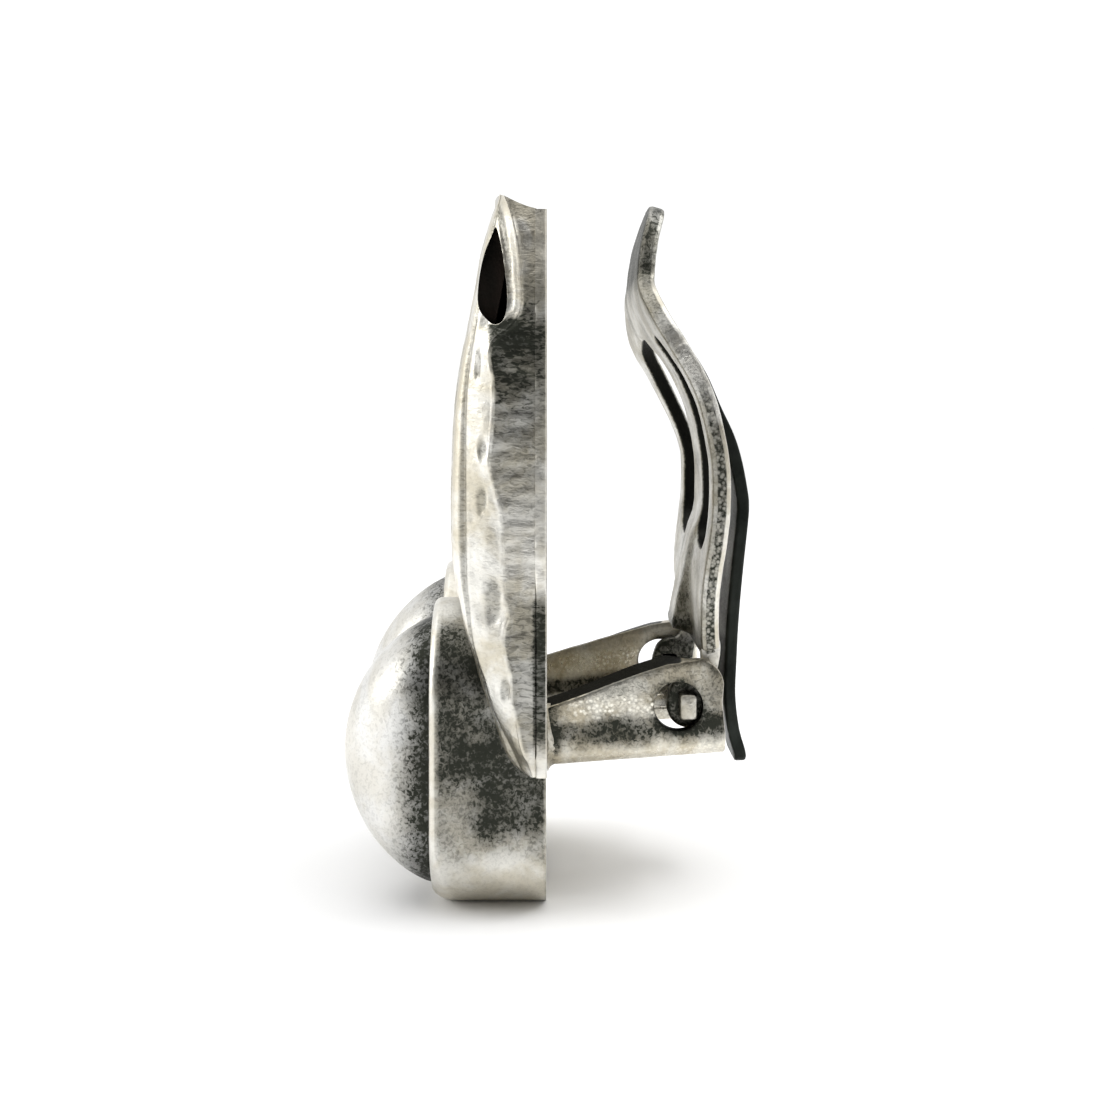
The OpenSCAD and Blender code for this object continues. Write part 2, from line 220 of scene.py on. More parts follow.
def shade(obj, sharp):
    mesh = obj.data
    mesh.polygons.foreach_set("use_smooth", [True] * len(mesh.polygons))
    mesh.set_sharp_from_angle(angle=math.radians(sharp))


def cutter(name, verts, faces, material):
    """A solid for a boolean. Its material and full darkening, painted shade, go to the faces that it
    cuts.
    """
    return new_object(name, verts, faces, material, {"dark": np.ones(len(verts))})


def cut(obj, cutters):
    """Takes the cutters away from obj and removes them."""
    for c in cutters:
        m = obj.modifiers.new("cut", "BOOLEAN")
        m.operation = "DIFFERENCE"
        m.solver = "EXACT"
        m.material_mode = "TRANSFER"
        m.object = c
    dg = bpy.context.evaluated_depsgraph_get()
    mesh = bpy.data.meshes.new_from_object(obj.evaluated_get(dg))
    obj.modifiers.clear()
    old = obj.data
    obj.data = mesh
    mesh.name = old.name
    bpy.data.meshes.remove(old)
    for c in cutters:
        data = c.data
        bpy.data.objects.remove(c)
        bpy.data.meshes.remove(data)


def grid_faces(rows, cols, wrap_rows=False, wrap_cols=False):
    """Quads of a grid of vertices, row after row."""
    faces = []
    for i in range(rows if wrap_rows else rows - 1):
        for j in range(cols if wrap_cols else cols - 1):
            a, b = i * cols, (i + 1) % rows * cols
            k = (j + 1) % cols
            faces.append((a + j, a + k, b + k, b + j))
    return faces


def tube_faces(rows, cols):
    """A tube of rings, closed at both ends."""
    caps = [tuple(range(cols)), tuple((rows - 1) * cols + i for i in range(cols))]
    return grid_faces(rows, cols, wrap_cols=True) + caps


def bridge(a, b):
    """Quads between two closed rings, given as lists of vertex numbers."""
    return [(a[i - 1], a[i], b[i], b[i - 1]) for i in [*range(1, len(a)), 0]]


def turned(loop, anticlockwise=True):
    """The loop, run the way round that is asked for."""
    p = np.asarray(loop)
    area = 0.5 * np.sum(p[:, 0] * np.roll(p[:, 1], -1) - np.roll(p[:, 0], -1) * p[:, 1])
    return p if (area > 0) == anticlockwise else p[::-1]


def winding(loops, pts):
    """Winding number of each point about the loops."""
    total = np.zeros(len(pts))
    for loop in loops:
        a = np.asarray(loop)
        b = np.roll(a, -1, 0)
        for p0, p1 in zip(a, b):
            v0, v1 = p0 - pts, p1 - pts
            total += np.arctan2(v0[:, 0] * v1[:, 1] - v0[:, 1] * v1[:, 0],
                                v0[:, 0] * v1[:, 0] + v0[:, 1] * v1[:, 1])
    return total / (2 * math.pi)


def inset(loop, d):
    """A loop moved towards the metal, which lies on its left."""
    p = np.asarray(loop, float)
    e = np.roll(p, -1, 0) - p
    e /= np.linalg.norm(e, axis=1)[:, None]
    n = np.stack([-e[:, 1], e[:, 0]], 1)
    v = n + np.roll(n, 1, 0)
    v /= np.linalg.norm(v, axis=1)[:, None]
    c = np.clip((v * n).sum(1), 0.5, 1)
    return p + v * (d / c)[:, None]


def inner_points(loops, margin, spacing):
    """A triangular grid of points inside the loops, clear of them by a margin."""
    border = np.concatenate([np.asarray(loop, float) for loop in loops])
    lo, hi = border.min(0), border.max(0)
    inner = []
    rows = int((hi[1] - lo[1]) / (spacing * 0.866)) + 1
    for i in range(rows):
        v = lo[1] + (i + 0.5) * spacing * 0.866
        u = np.arange(lo[0] + (0.25 if i % 2 else 0.75) * spacing, hi[0], spacing)
        inner.extend((x, v) for x in u)
    inner = np.array(inner)
    inner = inner[np.abs(winding(loops, inner)) > 0.5]
    gap = np.full(len(inner), 1e9)
    for s in range(0, len(border), 64):
        block = border[s:s + 64]
        gap = np.minimum(gap, np.linalg.norm(inner[:, None] - block[None], axis=2).min(1))
    return inner[gap > margin]


def sheet_metal(loops, place, t, r, spacing):
    """A bent sheet of metal, t thick, with edges rounded by r.

    loops are outlines in the flat with the metal on their left, and place(u, v) gives the middle
    surface's point and its normal. Returns verts, faces and, for each vertex, its flat u and v, its
    nearness to an edge from 0 to 1, and its face: 1 in front, -1 behind, between them on an edge.
    """
    levels = [(0.0, r), (0.3 * r, r - math.sqrt(r * r - (0.7 * r) ** 2)), (r, 0.0)]
    pts, edges, level, ring0 = [], [], [], []
    for loop in loops:
        for k, (d, drop) in enumerate(levels):
            ring = inset(loop, d) if d else np.asarray(loop, float)
            start = len(pts)
            pts.extend(ring.tolist())
            level.extend([drop] * len(ring))
            edges.extend((start + i, start + (i + 1) % len(ring)) for i in range(len(ring)))
            if k == 0:
                ring0.append((start, len(ring)))
    inner = inner_points(loops, r + 0.45 * spacing, spacing)
    pts.extend(inner.tolist())
    level.extend([0.0] * len(inner))
    vs, _, tris, orig, _, _ = delaunay_2d_cdt([Vector(p) for p in pts], edges, [], 0, 1e-7)
    flat = np.array([tuple(v) for v in vs])
    new_of = {}
    lev = np.zeros(len(vs))
    for i, o in enumerate(orig):
        for k in o:
            new_of[k] = i
        lev[i] = max(level[k] for k in o) if o else 0.0
    tri = np.array([tuple(f) for f in tris if len(f) == 3])
    mid = flat[tri].mean(1)
    tri = tri[np.abs(winding(loops, mid)) > 0.5]
    used = np.unique(tri)
    index = -np.ones(len(flat), int)
    index[used] = np.arange(len(used))
    tri = index[tri]
    flat, lev = flat[used], lev[used]
    n = len(flat)
    front, back = [], []
    for (u, v), drop in zip(flat, lev):
        p, nrm = map(np.array, place(u, v))
        front.append(p + nrm * (t / 2 - drop))
        back.append(p - nrm * (t / 2 - drop))
    verts = front + back
    faces = [tuple(f) for f in tri] + [tuple(n + f[::-1]) for f in tri]
    near = lev / r
    flats = [(u, v, e, face) for face in (1, -1) for (u, v), e in zip(flat, near)]
    for start, count in ring0:
        ids = [index[new_of[start + i]] for i in range(count)]
        rings = [ids]
        for part in (0.12, 0.5, 0.88):
            ring = []
            for i in ids:
                ring.append(len(verts))
                verts.append((1 - part) * np.array(verts[i]) + part * np.array(verts[n + i]))
                flats.append((flats[i][0], flats[i][1], 1.0, 1 - 2 * part))
            rings.append(ring)
        rings.append([n + i for i in ids])
        for a, b in zip(rings, rings[1:]):
            faces += bridge(a, b)
    return np.array(verts), faces, np.array(flats)


# Materials
# Colour of painted glints
GLINT = (1.0, 0.97, 0.86)
# Colour of the painted black shade in cut walls and gaps
SHADE_BLACK = (0.014, 0.014, 0.012)


class Nodes:
    """Short calls that add shader nodes to one node tree."""

    def __init__(self, tree):
        self.tree = tree
        tree.nodes.clear()

    def add(self, kind, inputs, output=0, **settings):
        """One node's output. An input is a value or another node's output."""
        node = self.tree.nodes.new("ShaderNode" + kind)
        for key, value in settings.items():
            setattr(node, key, value)
        for key, value in inputs.items():
            socket = node.inputs[key]
            if isinstance(value, bpy.types.NodeSocket):
                self.tree.links.new(value, socket)
            elif socket.type == "RGBA":
                socket.default_value = (*value, 1)
            else:
                socket.default_value = value
        return node.outputs[output] if node.outputs else None

    def place(self):
        return self.add("TexCoord", {}, "Object")

    def noise(self, size, detail=3, roughness=0.6, distortion=0.0, stretch=(1, 1, 1)):
        """Noise whose features are about size millimetres across."""
        place = self.add("Mapping", {"Vector": self.place(), "Scale": stretch})
        return self.add("TexNoise", {"Vector": place, "Scale": 1 / (size * MM), "Detail": detail,
                                     "Roughness": roughness, "Distortion": distortion}, "Fac")

    def cells(self, size):
        """Distance from the middle of the nearest grain, with grains about size millimetres across."""
        return self.add("TexVoronoi", {"Vector": self.place(), "Scale": 1 / (size * MM)}, "Distance")

    def ramp(self, value, a, b, low=0.0, high=1.0):
        inputs = {"Value": value, "From Min": a, "From Max": b, "To Min": low, "To Max": high}
        return self.add("MapRange", inputs, "Result", interpolation_type="SMOOTHSTEP")

    def sum(self, a, b):
        return self.add("Math", {0: a, 1: b}, operation="ADD", use_clamp=True)

    def product(self, a, b):
        return self.add("Math", {0: a, 1: b}, operation="MULTIPLY", use_clamp=True)

    def mix(self, factor, a, b):
        return self.add("Mix", {"Factor": factor, 6: a, 7: b}, 2, data_type="RGBA")

    def bump(self, height, strength, depth, below=None):
        """A bump of depth millimetres, on top of another bump."""
        inputs = {"Height": height, "Strength": strength, "Distance": depth * MM}
        if below:
            inputs["Normal"] = below
        return self.add("Bump", inputs)


def silver(name, light, mid, deep, rough, bump, warm, grit, stroke=(1, 1, 1)):
    """Worn silver. The mesh's dark attribute says where tarnish and painted shade lie, and past 1 it is
    painted black shade; a second attribute adds painted glints.

    warm and grit are how much the tan patches and the fine dark grain show, and stroke stretches
    the grain.
    """
    material = bpy.data.materials.new(name)
    material.use_nodes = True
    n = Nodes(material.node_tree)
    dark = n.add("Attribute", {}, "Fac", attribute_name="dark")
    glints = n.add("Attribute", {}, "Fac", attribute_name="glints")
    cloud = n.noise(1.5, 4, 0.6, 0.5)
    worm = n.noise(0.11, 3, 0.55, 0.8, stroke)
    patch = n.noise(0.5, 3, 0.55, 0.6, stroke)
    grain = n.noise(0.07, 2, 0.7)
    scratch = n.noise(0.12, 2, 0.6, 0.3, (1.0, 1.0, 0.12))
    colour = n.mix(n.product(n.ramp(cloud, 0.36, 0.62), warm), light, mid)
    uneven = n.product(dark, n.ramp(worm, 0.30, 0.68, 0.94, 1.05))
    uneven = n.product(uneven, n.ramp(patch, 0.3, 0.68, 0.93, 1.06))
    uneven = n.product(uneven, n.ramp(cloud, 0.3, 0.65, 0.92, 1.08))
    lines = n.product(n.ramp(worm, 0.48, 0.64), n.ramp(dark, 0.0, 0.5, 0.09, 0.20))
    tarnish_and_shade = n.sum(uneven, n.product(lines, grit))
    colour = n.mix(tarnish_and_shade, colour, deep)
    rubbed = n.product(n.ramp(worm, 0.46, 0.34), n.ramp(dark, 0.0, 0.6, 0.0, 0.06))
    colour = n.mix(n.product(rubbed, grit), colour, light)
    # Painted glints: bright dots of glint colour where the mesh asks for them
    glint_dots = n.product(n.ramp(n.cells(0.12), 0.62, 0.22), glints)
    colour = n.mix(glint_dots, colour, GLINT)
    # Past 1 the darkening paints black shade
    colour = n.mix(n.ramp(dark, 1.05, 1.4), colour, SHADE_BLACK)
    roughness = n.sum(n.ramp(grain, 0.3, 0.75, rough * 0.85, rough * 1.2), n.product(tarnish_and_shade, 0.12))
    normal = n.bump(cloud, bump, 0.05)
    normal = n.bump(worm, bump, 0.016, normal)
    normal = n.bump(scratch, bump, 0.004, normal)
    normal = n.bump(grain, bump, 0.004, normal)
    shader = n.add("BsdfPrincipled", {"Metallic": 1.0, "Base Color": colour, "Roughness": roughness,
                                      "Normal": normal})
    n.add("OutputMaterial", {"Surface": shader})
    return material


LIGHT = (0.86, 0.845, 0.79)
TAN = (0.64, 0.59, 0.47)
DEEP = (0.032, 0.034, 0.027)
ALONG = (1.0, 0.5, 1.25)
M_PANEL = silver("hammered_silver", LIGHT, TAN, DEEP, 0.34, 0.7, 0.9, 0.9, ALONG)
M_PLATE = silver("plate_silver", LIGHT, TAN, DEEP, 0.36, 0.5, 0.7, 0.7, ALONG)
M_COLLAR = silver("collar_silver", LIGHT, TAN, DEEP, 0.34, 0.6, 0.7, 0.7)
M_DOME = silver("dome_silver", (0.85, 0.845, 0.82), (0.70, 0.67, 0.59), DEEP, 0.36, 0.6, 0.6, 1.3)
M_BRACKET = silver("bracket_silver", (0.88, 0.85, 0.76), (0.62, 0.55, 0.41), DEEP, 0.30, 0.9, 0.9, 0.8)
M_LEVER = silver("lever_silver", LIGHT, (0.50, 0.46, 0.36), DEEP, 0.34, 0.7, 0.8, 0.9)
# Near black metal for the faces that the hollows and mouths cut: painted shade inside the panel
M_INSIDE_SHADE = silver("inside_painted_shade", (0.020, 0.019, 0.016), (0.030, 0.022, 0.018), (0.008, 0.008, 0.007),
                  0.5, 0.4, 0.8, 0.5)
M_TONGUE = silver("tongue_steel", (0.032, 0.036, 0.032), (0.022, 0.025, 0.022), (0.010, 0.011, 0.010),
                  0.42, 0.25, 0.6, 0.5)


# Hammered panel
# Side view curves as [z, y]: the front silhouette, the groove inside the bead, and where the
# hammered bevel meets the side wall
FRONT = [(4.56, -0.62), (4.73, -0.85), (4.96, -1.07), (5.47, -1.31), (6.26, -1.57), (7.08, -1.86),
         (7.84, -2.07), (8.6, -2.31), (9.39, -2.45), (9.93, -2.57), (10.75, -2.65), (12.44, -2.68),
         (14.7, -2.60), (16.11, -2.45), (17.41, -2.19), (18.43, -1.99), (19.45, -1.82),
         (20.1, -1.66), (21.06, -1.36)]
GROOVE = [(4.56, -0.5), (4.79, -0.74), (5.39, -1.02), (5.96, -1.30), (6.61, -1.58), (7.27, -1.77),
          (7.78, -1.95), (8.44, -2.12), (9.35, -2.22), (10.4, -2.30), (12.42, -2.32),
          (15.27, -2.30), (16.97, -2.10), (18.2, -1.86), (19.3, -1.66), (20.2, -1.5), (21.06, -1.3)]
BEVEL = [(4.56, -0.42), (5.0, -0.55), (5.25, -0.67), (5.53, -0.76), (6.01, -0.84), (6.60, -0.98),
         (6.77, -1.04), (7.55, -1.07), (8.09, -1.21), (8.51, -1.26), (8.90, -1.21), (9.18, -1.12),
         (9.71, -1.22), (10.5, -1.27), (11.14, -1.29), (11.9, -1.32), (12.27, -1.38),
         (12.86, -1.54), (13.5, -1.67), (14.43, -1.58), (15.67, -1.55), (16.5, -1.66),
         (17.0, -1.5), (17.45, -0.95), (17.95, -0.75), (18.7, -0.77), (19.4, -0.82), (20.4, -1.0),
         (21.06, -1.22)]
TOP_Z, TOP_R = 20.635, 2.1
FOOT_Z = 4.565
# How far the front bulges at its middle
CROWN = 0.28
SEAM_Y = -PLATE_T - 0.02
FRONT, GROOVE, BEVEL = (catmull(rows, 6) for rows in (FRONT, GROOVE, BEVEL))
# The bead's section as [x, y]: y runs back from the silhouette, as a share of the bead's size
BEAD = [(5.04, -0.015), (5.14, -0.045), (5.26, -0.05), (5.38, -0.02), (5.48, 0.04), (5.56, 0.12)]
# Half the front's width inside the bead, and where the groove ends and the bevel begins
FACE_X = 5.02
BEVEL_X = 5.73
# The parts of the section
ON_FACE, ON_BEAD, IN_GROOVE, ON_BEVEL, ON_SIDE, AT_SEAM = range(6)


def table_at(curve, z):
    return np.interp(z, curve[:, 0], curve[:, 1])


def top_edge(y):
    """Height of the panel's hollow top edge at a depth."""
    return TOP_Z + TOP_R - np.sqrt(np.maximum(TOP_R ** 2 - np.minimum(y, 0) ** 2, 0.01))


def half_section(z):
    """The panel's outside at heights z, from its middle to the seam, as columns of x, y and part."""
    z = np.asarray(z, float)
    f, g, b = table_at(FRONT, z), table_at(GROOVE, z), table_at(BEVEL, z)
    wall = PANEL_X - 0.03 - 0.42 * smoothstep(5.35, 4.5, z)
    rows = []
    for i in range(46):
        x = FACE_X * i / 46
        rows.append((x, f - CROWN * (1 - (x / 5.2) ** 2), ON_FACE))
    d = g - f
    k = np.clip(d / 0.3, 0.15, 1.0)
    rows += [(x, f + back * k, ON_BEAD) for x, back in BEAD]
    rows += [(x, y, IN_GROOVE) for x, y in ((5.61, f + 0.6 * d), (5.63, f + 0.8 * d),
                                            (5.645, g - 0.02 * k), (5.66, g), (5.70, g + 0.005 * k))]
    x0, x1 = BEVEL_X, wall + 0.01
    for i in range(1, 19):
        t = i / 19
        x = x0 + (x1 - x0) * (t + 0.10 * math.sin(math.pi * t))
        y = g + 0.01 + (b - g - 0.01) * t
        rows.append((x, y, ON_BEVEL))
    # Near the foot the side wall is too narrow for a full round at its edge
    room = np.clip((SEAM_Y - 0.02 - b) / 0.25, 0.1, 1.0)
    rows += [(wall + 0.025, b, ON_BEVEL), (wall + 0.03, b + 0.05 * room, ON_BEVEL),
             (wall + 0.02, b + 0.11 * room, ON_SIDE)]
    y0 = b + 0.18 * room
    for i in range(14):
        t = i / 13
        rows.append((wall, y0 + (SEAM_Y + 0.02 - y0) * t, ON_SIDE))
    rows += [(wall - 0.03, SEAM_Y + 0.03 + 0 * z, AT_SEAM), (wall - 0.10, SEAM_Y + 0.07 + 0 * z, AT_SEAM)]
    return rows


# Larger hammer marks on the bevel, browned: [y, z, half width, half height]
PITS = [(-1.84, 13.86, 0.13, 0.36), (-1.86, 12.43, 0.16, 0.46), (-1.54, 9.6, 0.26, 0.76),
        (-1.98, 16.3, 0.10, 0.5), (-1.20, 7.1, 0.14, 0.4)]


def pit(y, z, y0, z0, half_y, half_z):
    return float(smoothstep(1.15, 0.55, math.hypot((y - y0) / half_y, (z - z0) / half_z)))


# Tarnish of the side walls by height, as [z, share]
SIDE_TONE = [(4.6, 0.0), (5.0, 0.1), (5.6, 0.45), (6.3, 0.50), (7.8, 0.60), (9.2, 0.50), (10.1, 0.2),
             (10.8, 0.22), (12.0, 0.38), (13.6, 0.50), (15.0, 0.68), (15.7, 0.82), (16.5, 0.93),
             (17.2, 0.88), (18.2, 0.62), (19.0, 0.38), (19.9, 0.18), (21.2, 0.12)]


def side_tone(y, z):
    low = smoothstep(9.9, 9.5, z) * smoothstep(5.3, 5.8, z) * smoothstep(-0.42, -0.36, y)
    lip = smoothstep(18.2, 17.4, z) * smoothstep(-0.5, -1.0, y) * smoothstep(16.4, 17.0, z)
    return tone(SIDE_TONE, z) + 0.4 * float(low) + 0.2 * float(lip)


def bevel_relief(x, y, z, side):
    """Inward and backward moves of a point on the bevel, and its darkening: tarnish, with painted shade
    and a painted highlight beside the mouth.
    """
    h = dimples(0.0, y * 0.8, z, 0.95, 2.3 + side)
    f = fractal(x, y, z, 0.5)
    pits = sum(pit(y, z, *row) for row in PITS)
    depth = 0.03 * (1 - h) + 0.015 * f + 0.042 * pits
    # Beside the mouth the bevel has a sunken strip, darkened as painted shade, and a band lightened as a
    # painted highlight, instead of hammer marks
    away = table_at(BEVEL, z) - y
    high = smoothstep(17.6, 18.1, z)
    strip = high * smoothstep(0.2, 0.24, away) * smoothstep(0.42, 0.36, away)
    lip_highlight = high * smoothstep(0.22, 0.18, away)
    depth = depth * (1 - 0.9 * high) * smoothstep(0.02, 0.3, y - table_at(GROOVE, z))
    # Below the mouth the dark of the side wall comes forward to this line
    line = np.interp(z, [16.5, 16.74, 17.23, 17.74], [-1.64, -1.63, -1.66, -1.80])
    dark_below_mouth = smoothstep(17.75, 17.5, z) * smoothstep(16.3, 16.8, z)
    dark_below_mouth = dark_below_mouth * smoothstep(line - 0.05, line + 0.07, y)
    dark = 0.10 + 0.3 * max(0.0, 0.4 - h) + 0.40 * pits + 0.42 * strip - 0.2 * lip_highlight
    return depth + 0.06 * strip, 0.6 * depth, max(dark, 0.95 * dark_below_mouth) + 0.10 * f


def relief(part, x, y, z):
    """Inward and backward moves of a point on the panel, and its darkening: tarnish, with painted shade
    and painted highlight in places.
    """
    if part == ON_FACE:
        h = dimples(x, 0.0, z, 1.5, 0.7)
        f = fractal(x, y, z, 0.8)
        back = (-0.05 + 0.075 * (1 - h)) * smoothstep(5.0, 4.2, abs(x))
        return 0.0, back, (0.14 + 0.40 * (1 - h) + 0.15 * f) * smoothstep(5.1, 4.2, abs(x))
    if part == IN_GROOVE:
        # The groove is darkened as painted shade, more so between z 5.6 and 8.6
        return 0.0, 0.0, 0.42 + 0.3 * smoothstep(8.6, 7.6, z) * smoothstep(5.6, 6.6, z)
    if part == ON_BEVEL:
        return bevel_relief(x, y, z, 1 if x > 0 else -1)
    if part == ON_SIDE:
        wave = fractal(x, y * 0.45, z, 0.62, 4)
        ridge = fractal(x + 7, y * 0.3, z, 0.24, 2)
        return 0.02 + 0.028 * wave + 0.014 * ridge, 0.0, side_tone(y, z) + 0.10 * wave
    if part == AT_SEAM:
        return 0.0, 0.0, 0.5 + 0.3 * smoothstep(10.0, 9.3, z)
    return 0.0, 0.0, 0.0


def closed_skin(rows, cols):
    """Faces of the panel's skin, closed behind by a strip and at both ends by bridges."""
    faces = grid_faces(rows, cols)
    for i in range(rows - 1):
        a, b = i * cols, i * cols + cols - 1
        faces.append((a, b, b + cols, a + cols))
    middle = cols // 2
    for base in (0, (rows - 1) * cols):
        for j in range(middle):
            a, b = base + j, base + cols - 1 - j
            faces.append((a, a + 1, b) if j == middle - 1 else (a, a + 1, b - 1, b))
    return faces


def panel_skin():
    """The panel's outer skin as a closed mesh, with its hammered relief."""
    half = len(half_section(12.0))
    cols = 2 * half - 1
    rows = 190
    grid = np.zeros((rows, cols, 3))
    parts = []
    t = np.linspace(0, 1, rows)
    first = half_section(FOOT_Z + t * (21.0 - FOOT_Z))
    for j in range(cols):
        k = abs(j - (half - 1))
        side = -1 if j < half - 1 else 1
        # The columns end at different heights, so each is read again at its own heights
        z = FOOT_Z + t * (top_edge(first[k][1][-1]) - FOOT_Z)
        x, y, part = half_section(z)[k]
        grid[:, j, 0] = side * x
        grid[:, j, 1] = y
        grid[:, j, 2] = z
        parts.append(part)
    dark = []
    for i in range(rows):
        fade = min(1.0, i / 6, (rows - 1 - i) / 6)
        for j in range(cols):
            x, y, z = grid[i, j]
            inward, backward, tarnish_and_shade = relief(parts[j], x, y, z)
            grid[i, j, 0] -= (1 if x > 0 else -1) * inward * fade
            grid[i, j, 1] += backward * fade
            dark.append(share(tarnish_and_shade))
    # The end caps join each column to its twin, so depth has to grow steadily along the end rows
    for i in (0, rows - 1):
        for k in range(1, half):
            for j, last in ((half - 1 + k, half - 2 + k), (half - 1 - k, half - k)):
                grid[i, j, 1] = max(grid[i, j, 1], grid[i, last, 1] + 0.0005)
    return grid.reshape(-1, 3), closed_skin(rows, cols), dark


# Half the rib between the two hollows, and how far out each hollow reaches
MID_RIB = 0.2
HOLLOW_X = 5.78


def hollow(side):
    """One of the two hollows in the panel, with a rib of metal left between them."""
    levels = np.linspace(FOOT_Z + 0.45, 20.1, 40)
    verts = []
    for z in levels:
        deep = float(table_at(FRONT, z)) + 0.5
        edge = min(float(table_at(BEVEL, z)) + 0.2, -0.5)
        ring = [(MID_RIB, deep), (2.6, deep), (4.9, deep + 0.05), (5.25, deep + 0.22),
                (HOLLOW_X, edge), (HOLLOW_X, SEAM_Y), (MID_RIB, SEAM_Y)]
        verts += [(side * x, min(y, SEAM_Y), z) for x, y in ring]
    return cutter("hollow", verts, tube_faces(len(levels), len(ring)), M_INSIDE_SHADE)


# A mouth's outline as [y, z]
MOUTH = [(-1.47, 20.17), (-1.60, 19.9), (-1.77, 19.5), (-1.88, 19.1), (-1.95, 18.68),
         (-1.98, 18.2), (-1.93, 17.85), (-1.76, 17.6), (-1.50, 17.40), (-1.25, 17.5),
         (-1.13, 17.9), (-1.13, 18.4), (-1.19, 18.93), (-1.27, 19.5), (-1.38, 20.0)]


def mouth(side):
    outline = catmull_closed(MOUTH, 4)
    verts = [(side * x, y, z) for x in (5.2, 7.0) for y, z in outline]
    return cutter("mouth", verts, tube_faces(2, len(outline)), M_INSIDE_SHADE)


def panel():
    verts, faces, dark = panel_skin()
    obj = piece("hammered_panel", verts, faces, M_PANEL, "earring", "setting", 42, dark)
    cut(obj, [hollow(-1), hollow(1), mouth(-1), mouth(1)])
    shade(obj, 42)
    return obj


hammered_panel = panel()


# Back plate
def plate():
    zs = np.concatenate([[FOOT_Z, FOOT_Z + 0.03], np.linspace(FOOT_Z + 0.1, TOP_Z - 0.1, 150),
                         [TOP_Z - 0.03, TOP_Z]])
    verts, dark = [], []
    for z in zs:
        k = 0.15 + 0.85 * float(smoothstep(10.6, 9.6, z))
        ring = [(0, 0), (2.5, 0), (5.0, 0), (PANEL_X - 0.12, 0), (PANEL_X - 0.03, -0.015),
                (PANEL_X, -0.06), (PANEL_X, -0.17), (PANEL_X - 0.01, -0.25),
                (PANEL_X - 0.02 - 0.02 * k, -PLATE_T + 0.04 * k),
                (PANEL_X - 0.03 - 0.09 * k, -PLATE_T - 0.005), (5.0, -PLATE_T), (2.5, -PLATE_T),
                (0, -PLATE_T)]
        ring = ring + [(-x, y) for x, y in ring[-2:0:-1]]
        tip = float(smoothstep(5.2, 4.5, z))
        for x, y in ring:
            side = 1 if x > 0 else -1
            rim = abs(x) > 6
            w = min(0.0, 0.02 * fractal(x, y, z, 0.5) - 0.02 - 0.3 * tip) if rim else 0.0
            verts.append((x + side * w, y, z))
            if rim and y < -0.02:
                low = smoothstep(9.95, 9.5, z) * smoothstep(5.3, 5.9, z)
                # A painted highlight lightens the rim's side round z 10.4
                highlight_spot = smoothstep(0.5, 0.2, abs(z - 10.4))
                dark.append(share(0.92 * tone(SIDE_TONE, z) + 0.45 * low - 0.5 * highlight_spot))
            else:
                dark.append(0.18 if rim else share(0.22 + 0.2 * fractal(x, y, z, 1.5)))
    faces = tube_faces(len(zs), len(ring))
    return piece("back_plate", verts, faces, M_PLATE, "earring", "setting", 50, dark)


back_plate = plate()


# Collars and domes
def stadium_point(s, w, z0, z1):
    """Point and outward normal on a stadium outline, s from 0 to 1, starting at the bottom."""
    r = w / 2
    straight = z1 - z0 - w
    quarter = math.pi * r / 2
    d = s * (2 * straight + 4 * quarter)
    if quarter <= d < quarter + straight:
        return (r, z0 + r + d - quarter), (1.0, 0.0)
    if 3 * quarter + straight <= d < 3 * quarter + 2 * straight:
        return (-r, z1 - r - (d - 3 * quarter - straight)), (-1.0, 0.0)
    if d < quarter:
        a, mid = d / r - math.pi / 2, z0 + r
    elif d < 3 * quarter + straight:
        a, mid = (d - quarter - straight) / r, z1 - r
    else:
        a, mid = (d - 3 * quarter - 2 * straight) / r + math.pi, z0 + r
    return (r * math.cos(a), mid + r * math.sin(a)), (math.cos(a), math.sin(a))


# A hair inside the plate, so that no two faces share a plane
COLLAR_BACK = -0.025


def collar_tone(near, x, y, z, nx, nz):
    """Tarnish and painted shade of a collar's outer wall, whose outward normal is nx, nz."""
    side = smoothstep(-0.2, 0.5, nx * near) * smoothstep(0.96, 0.7, abs(nz))
    back = smoothstep(-3.3, -3.1, y)
    blot = fractal(x, y, z, 1.4)
    height = smoothstep(1.5, 3.3, z + 0.4 * blot)
    pale = 0.20 * smoothstep(-1.7, -2.6, y) * smoothstep(4.8, 3.4, z)
    pale += 0.12 * smoothstep(-1.6, -2.3, y) * smoothstep(8.0, 6.4, z)
    pale += 0.10 * smoothstep(0.45, 0.15, math.hypot(y + 1.9, (z - 5.6) * 1.4))
    return 0.14 + side * (height * back * (0.80 - pale) + 0.12 * blot)


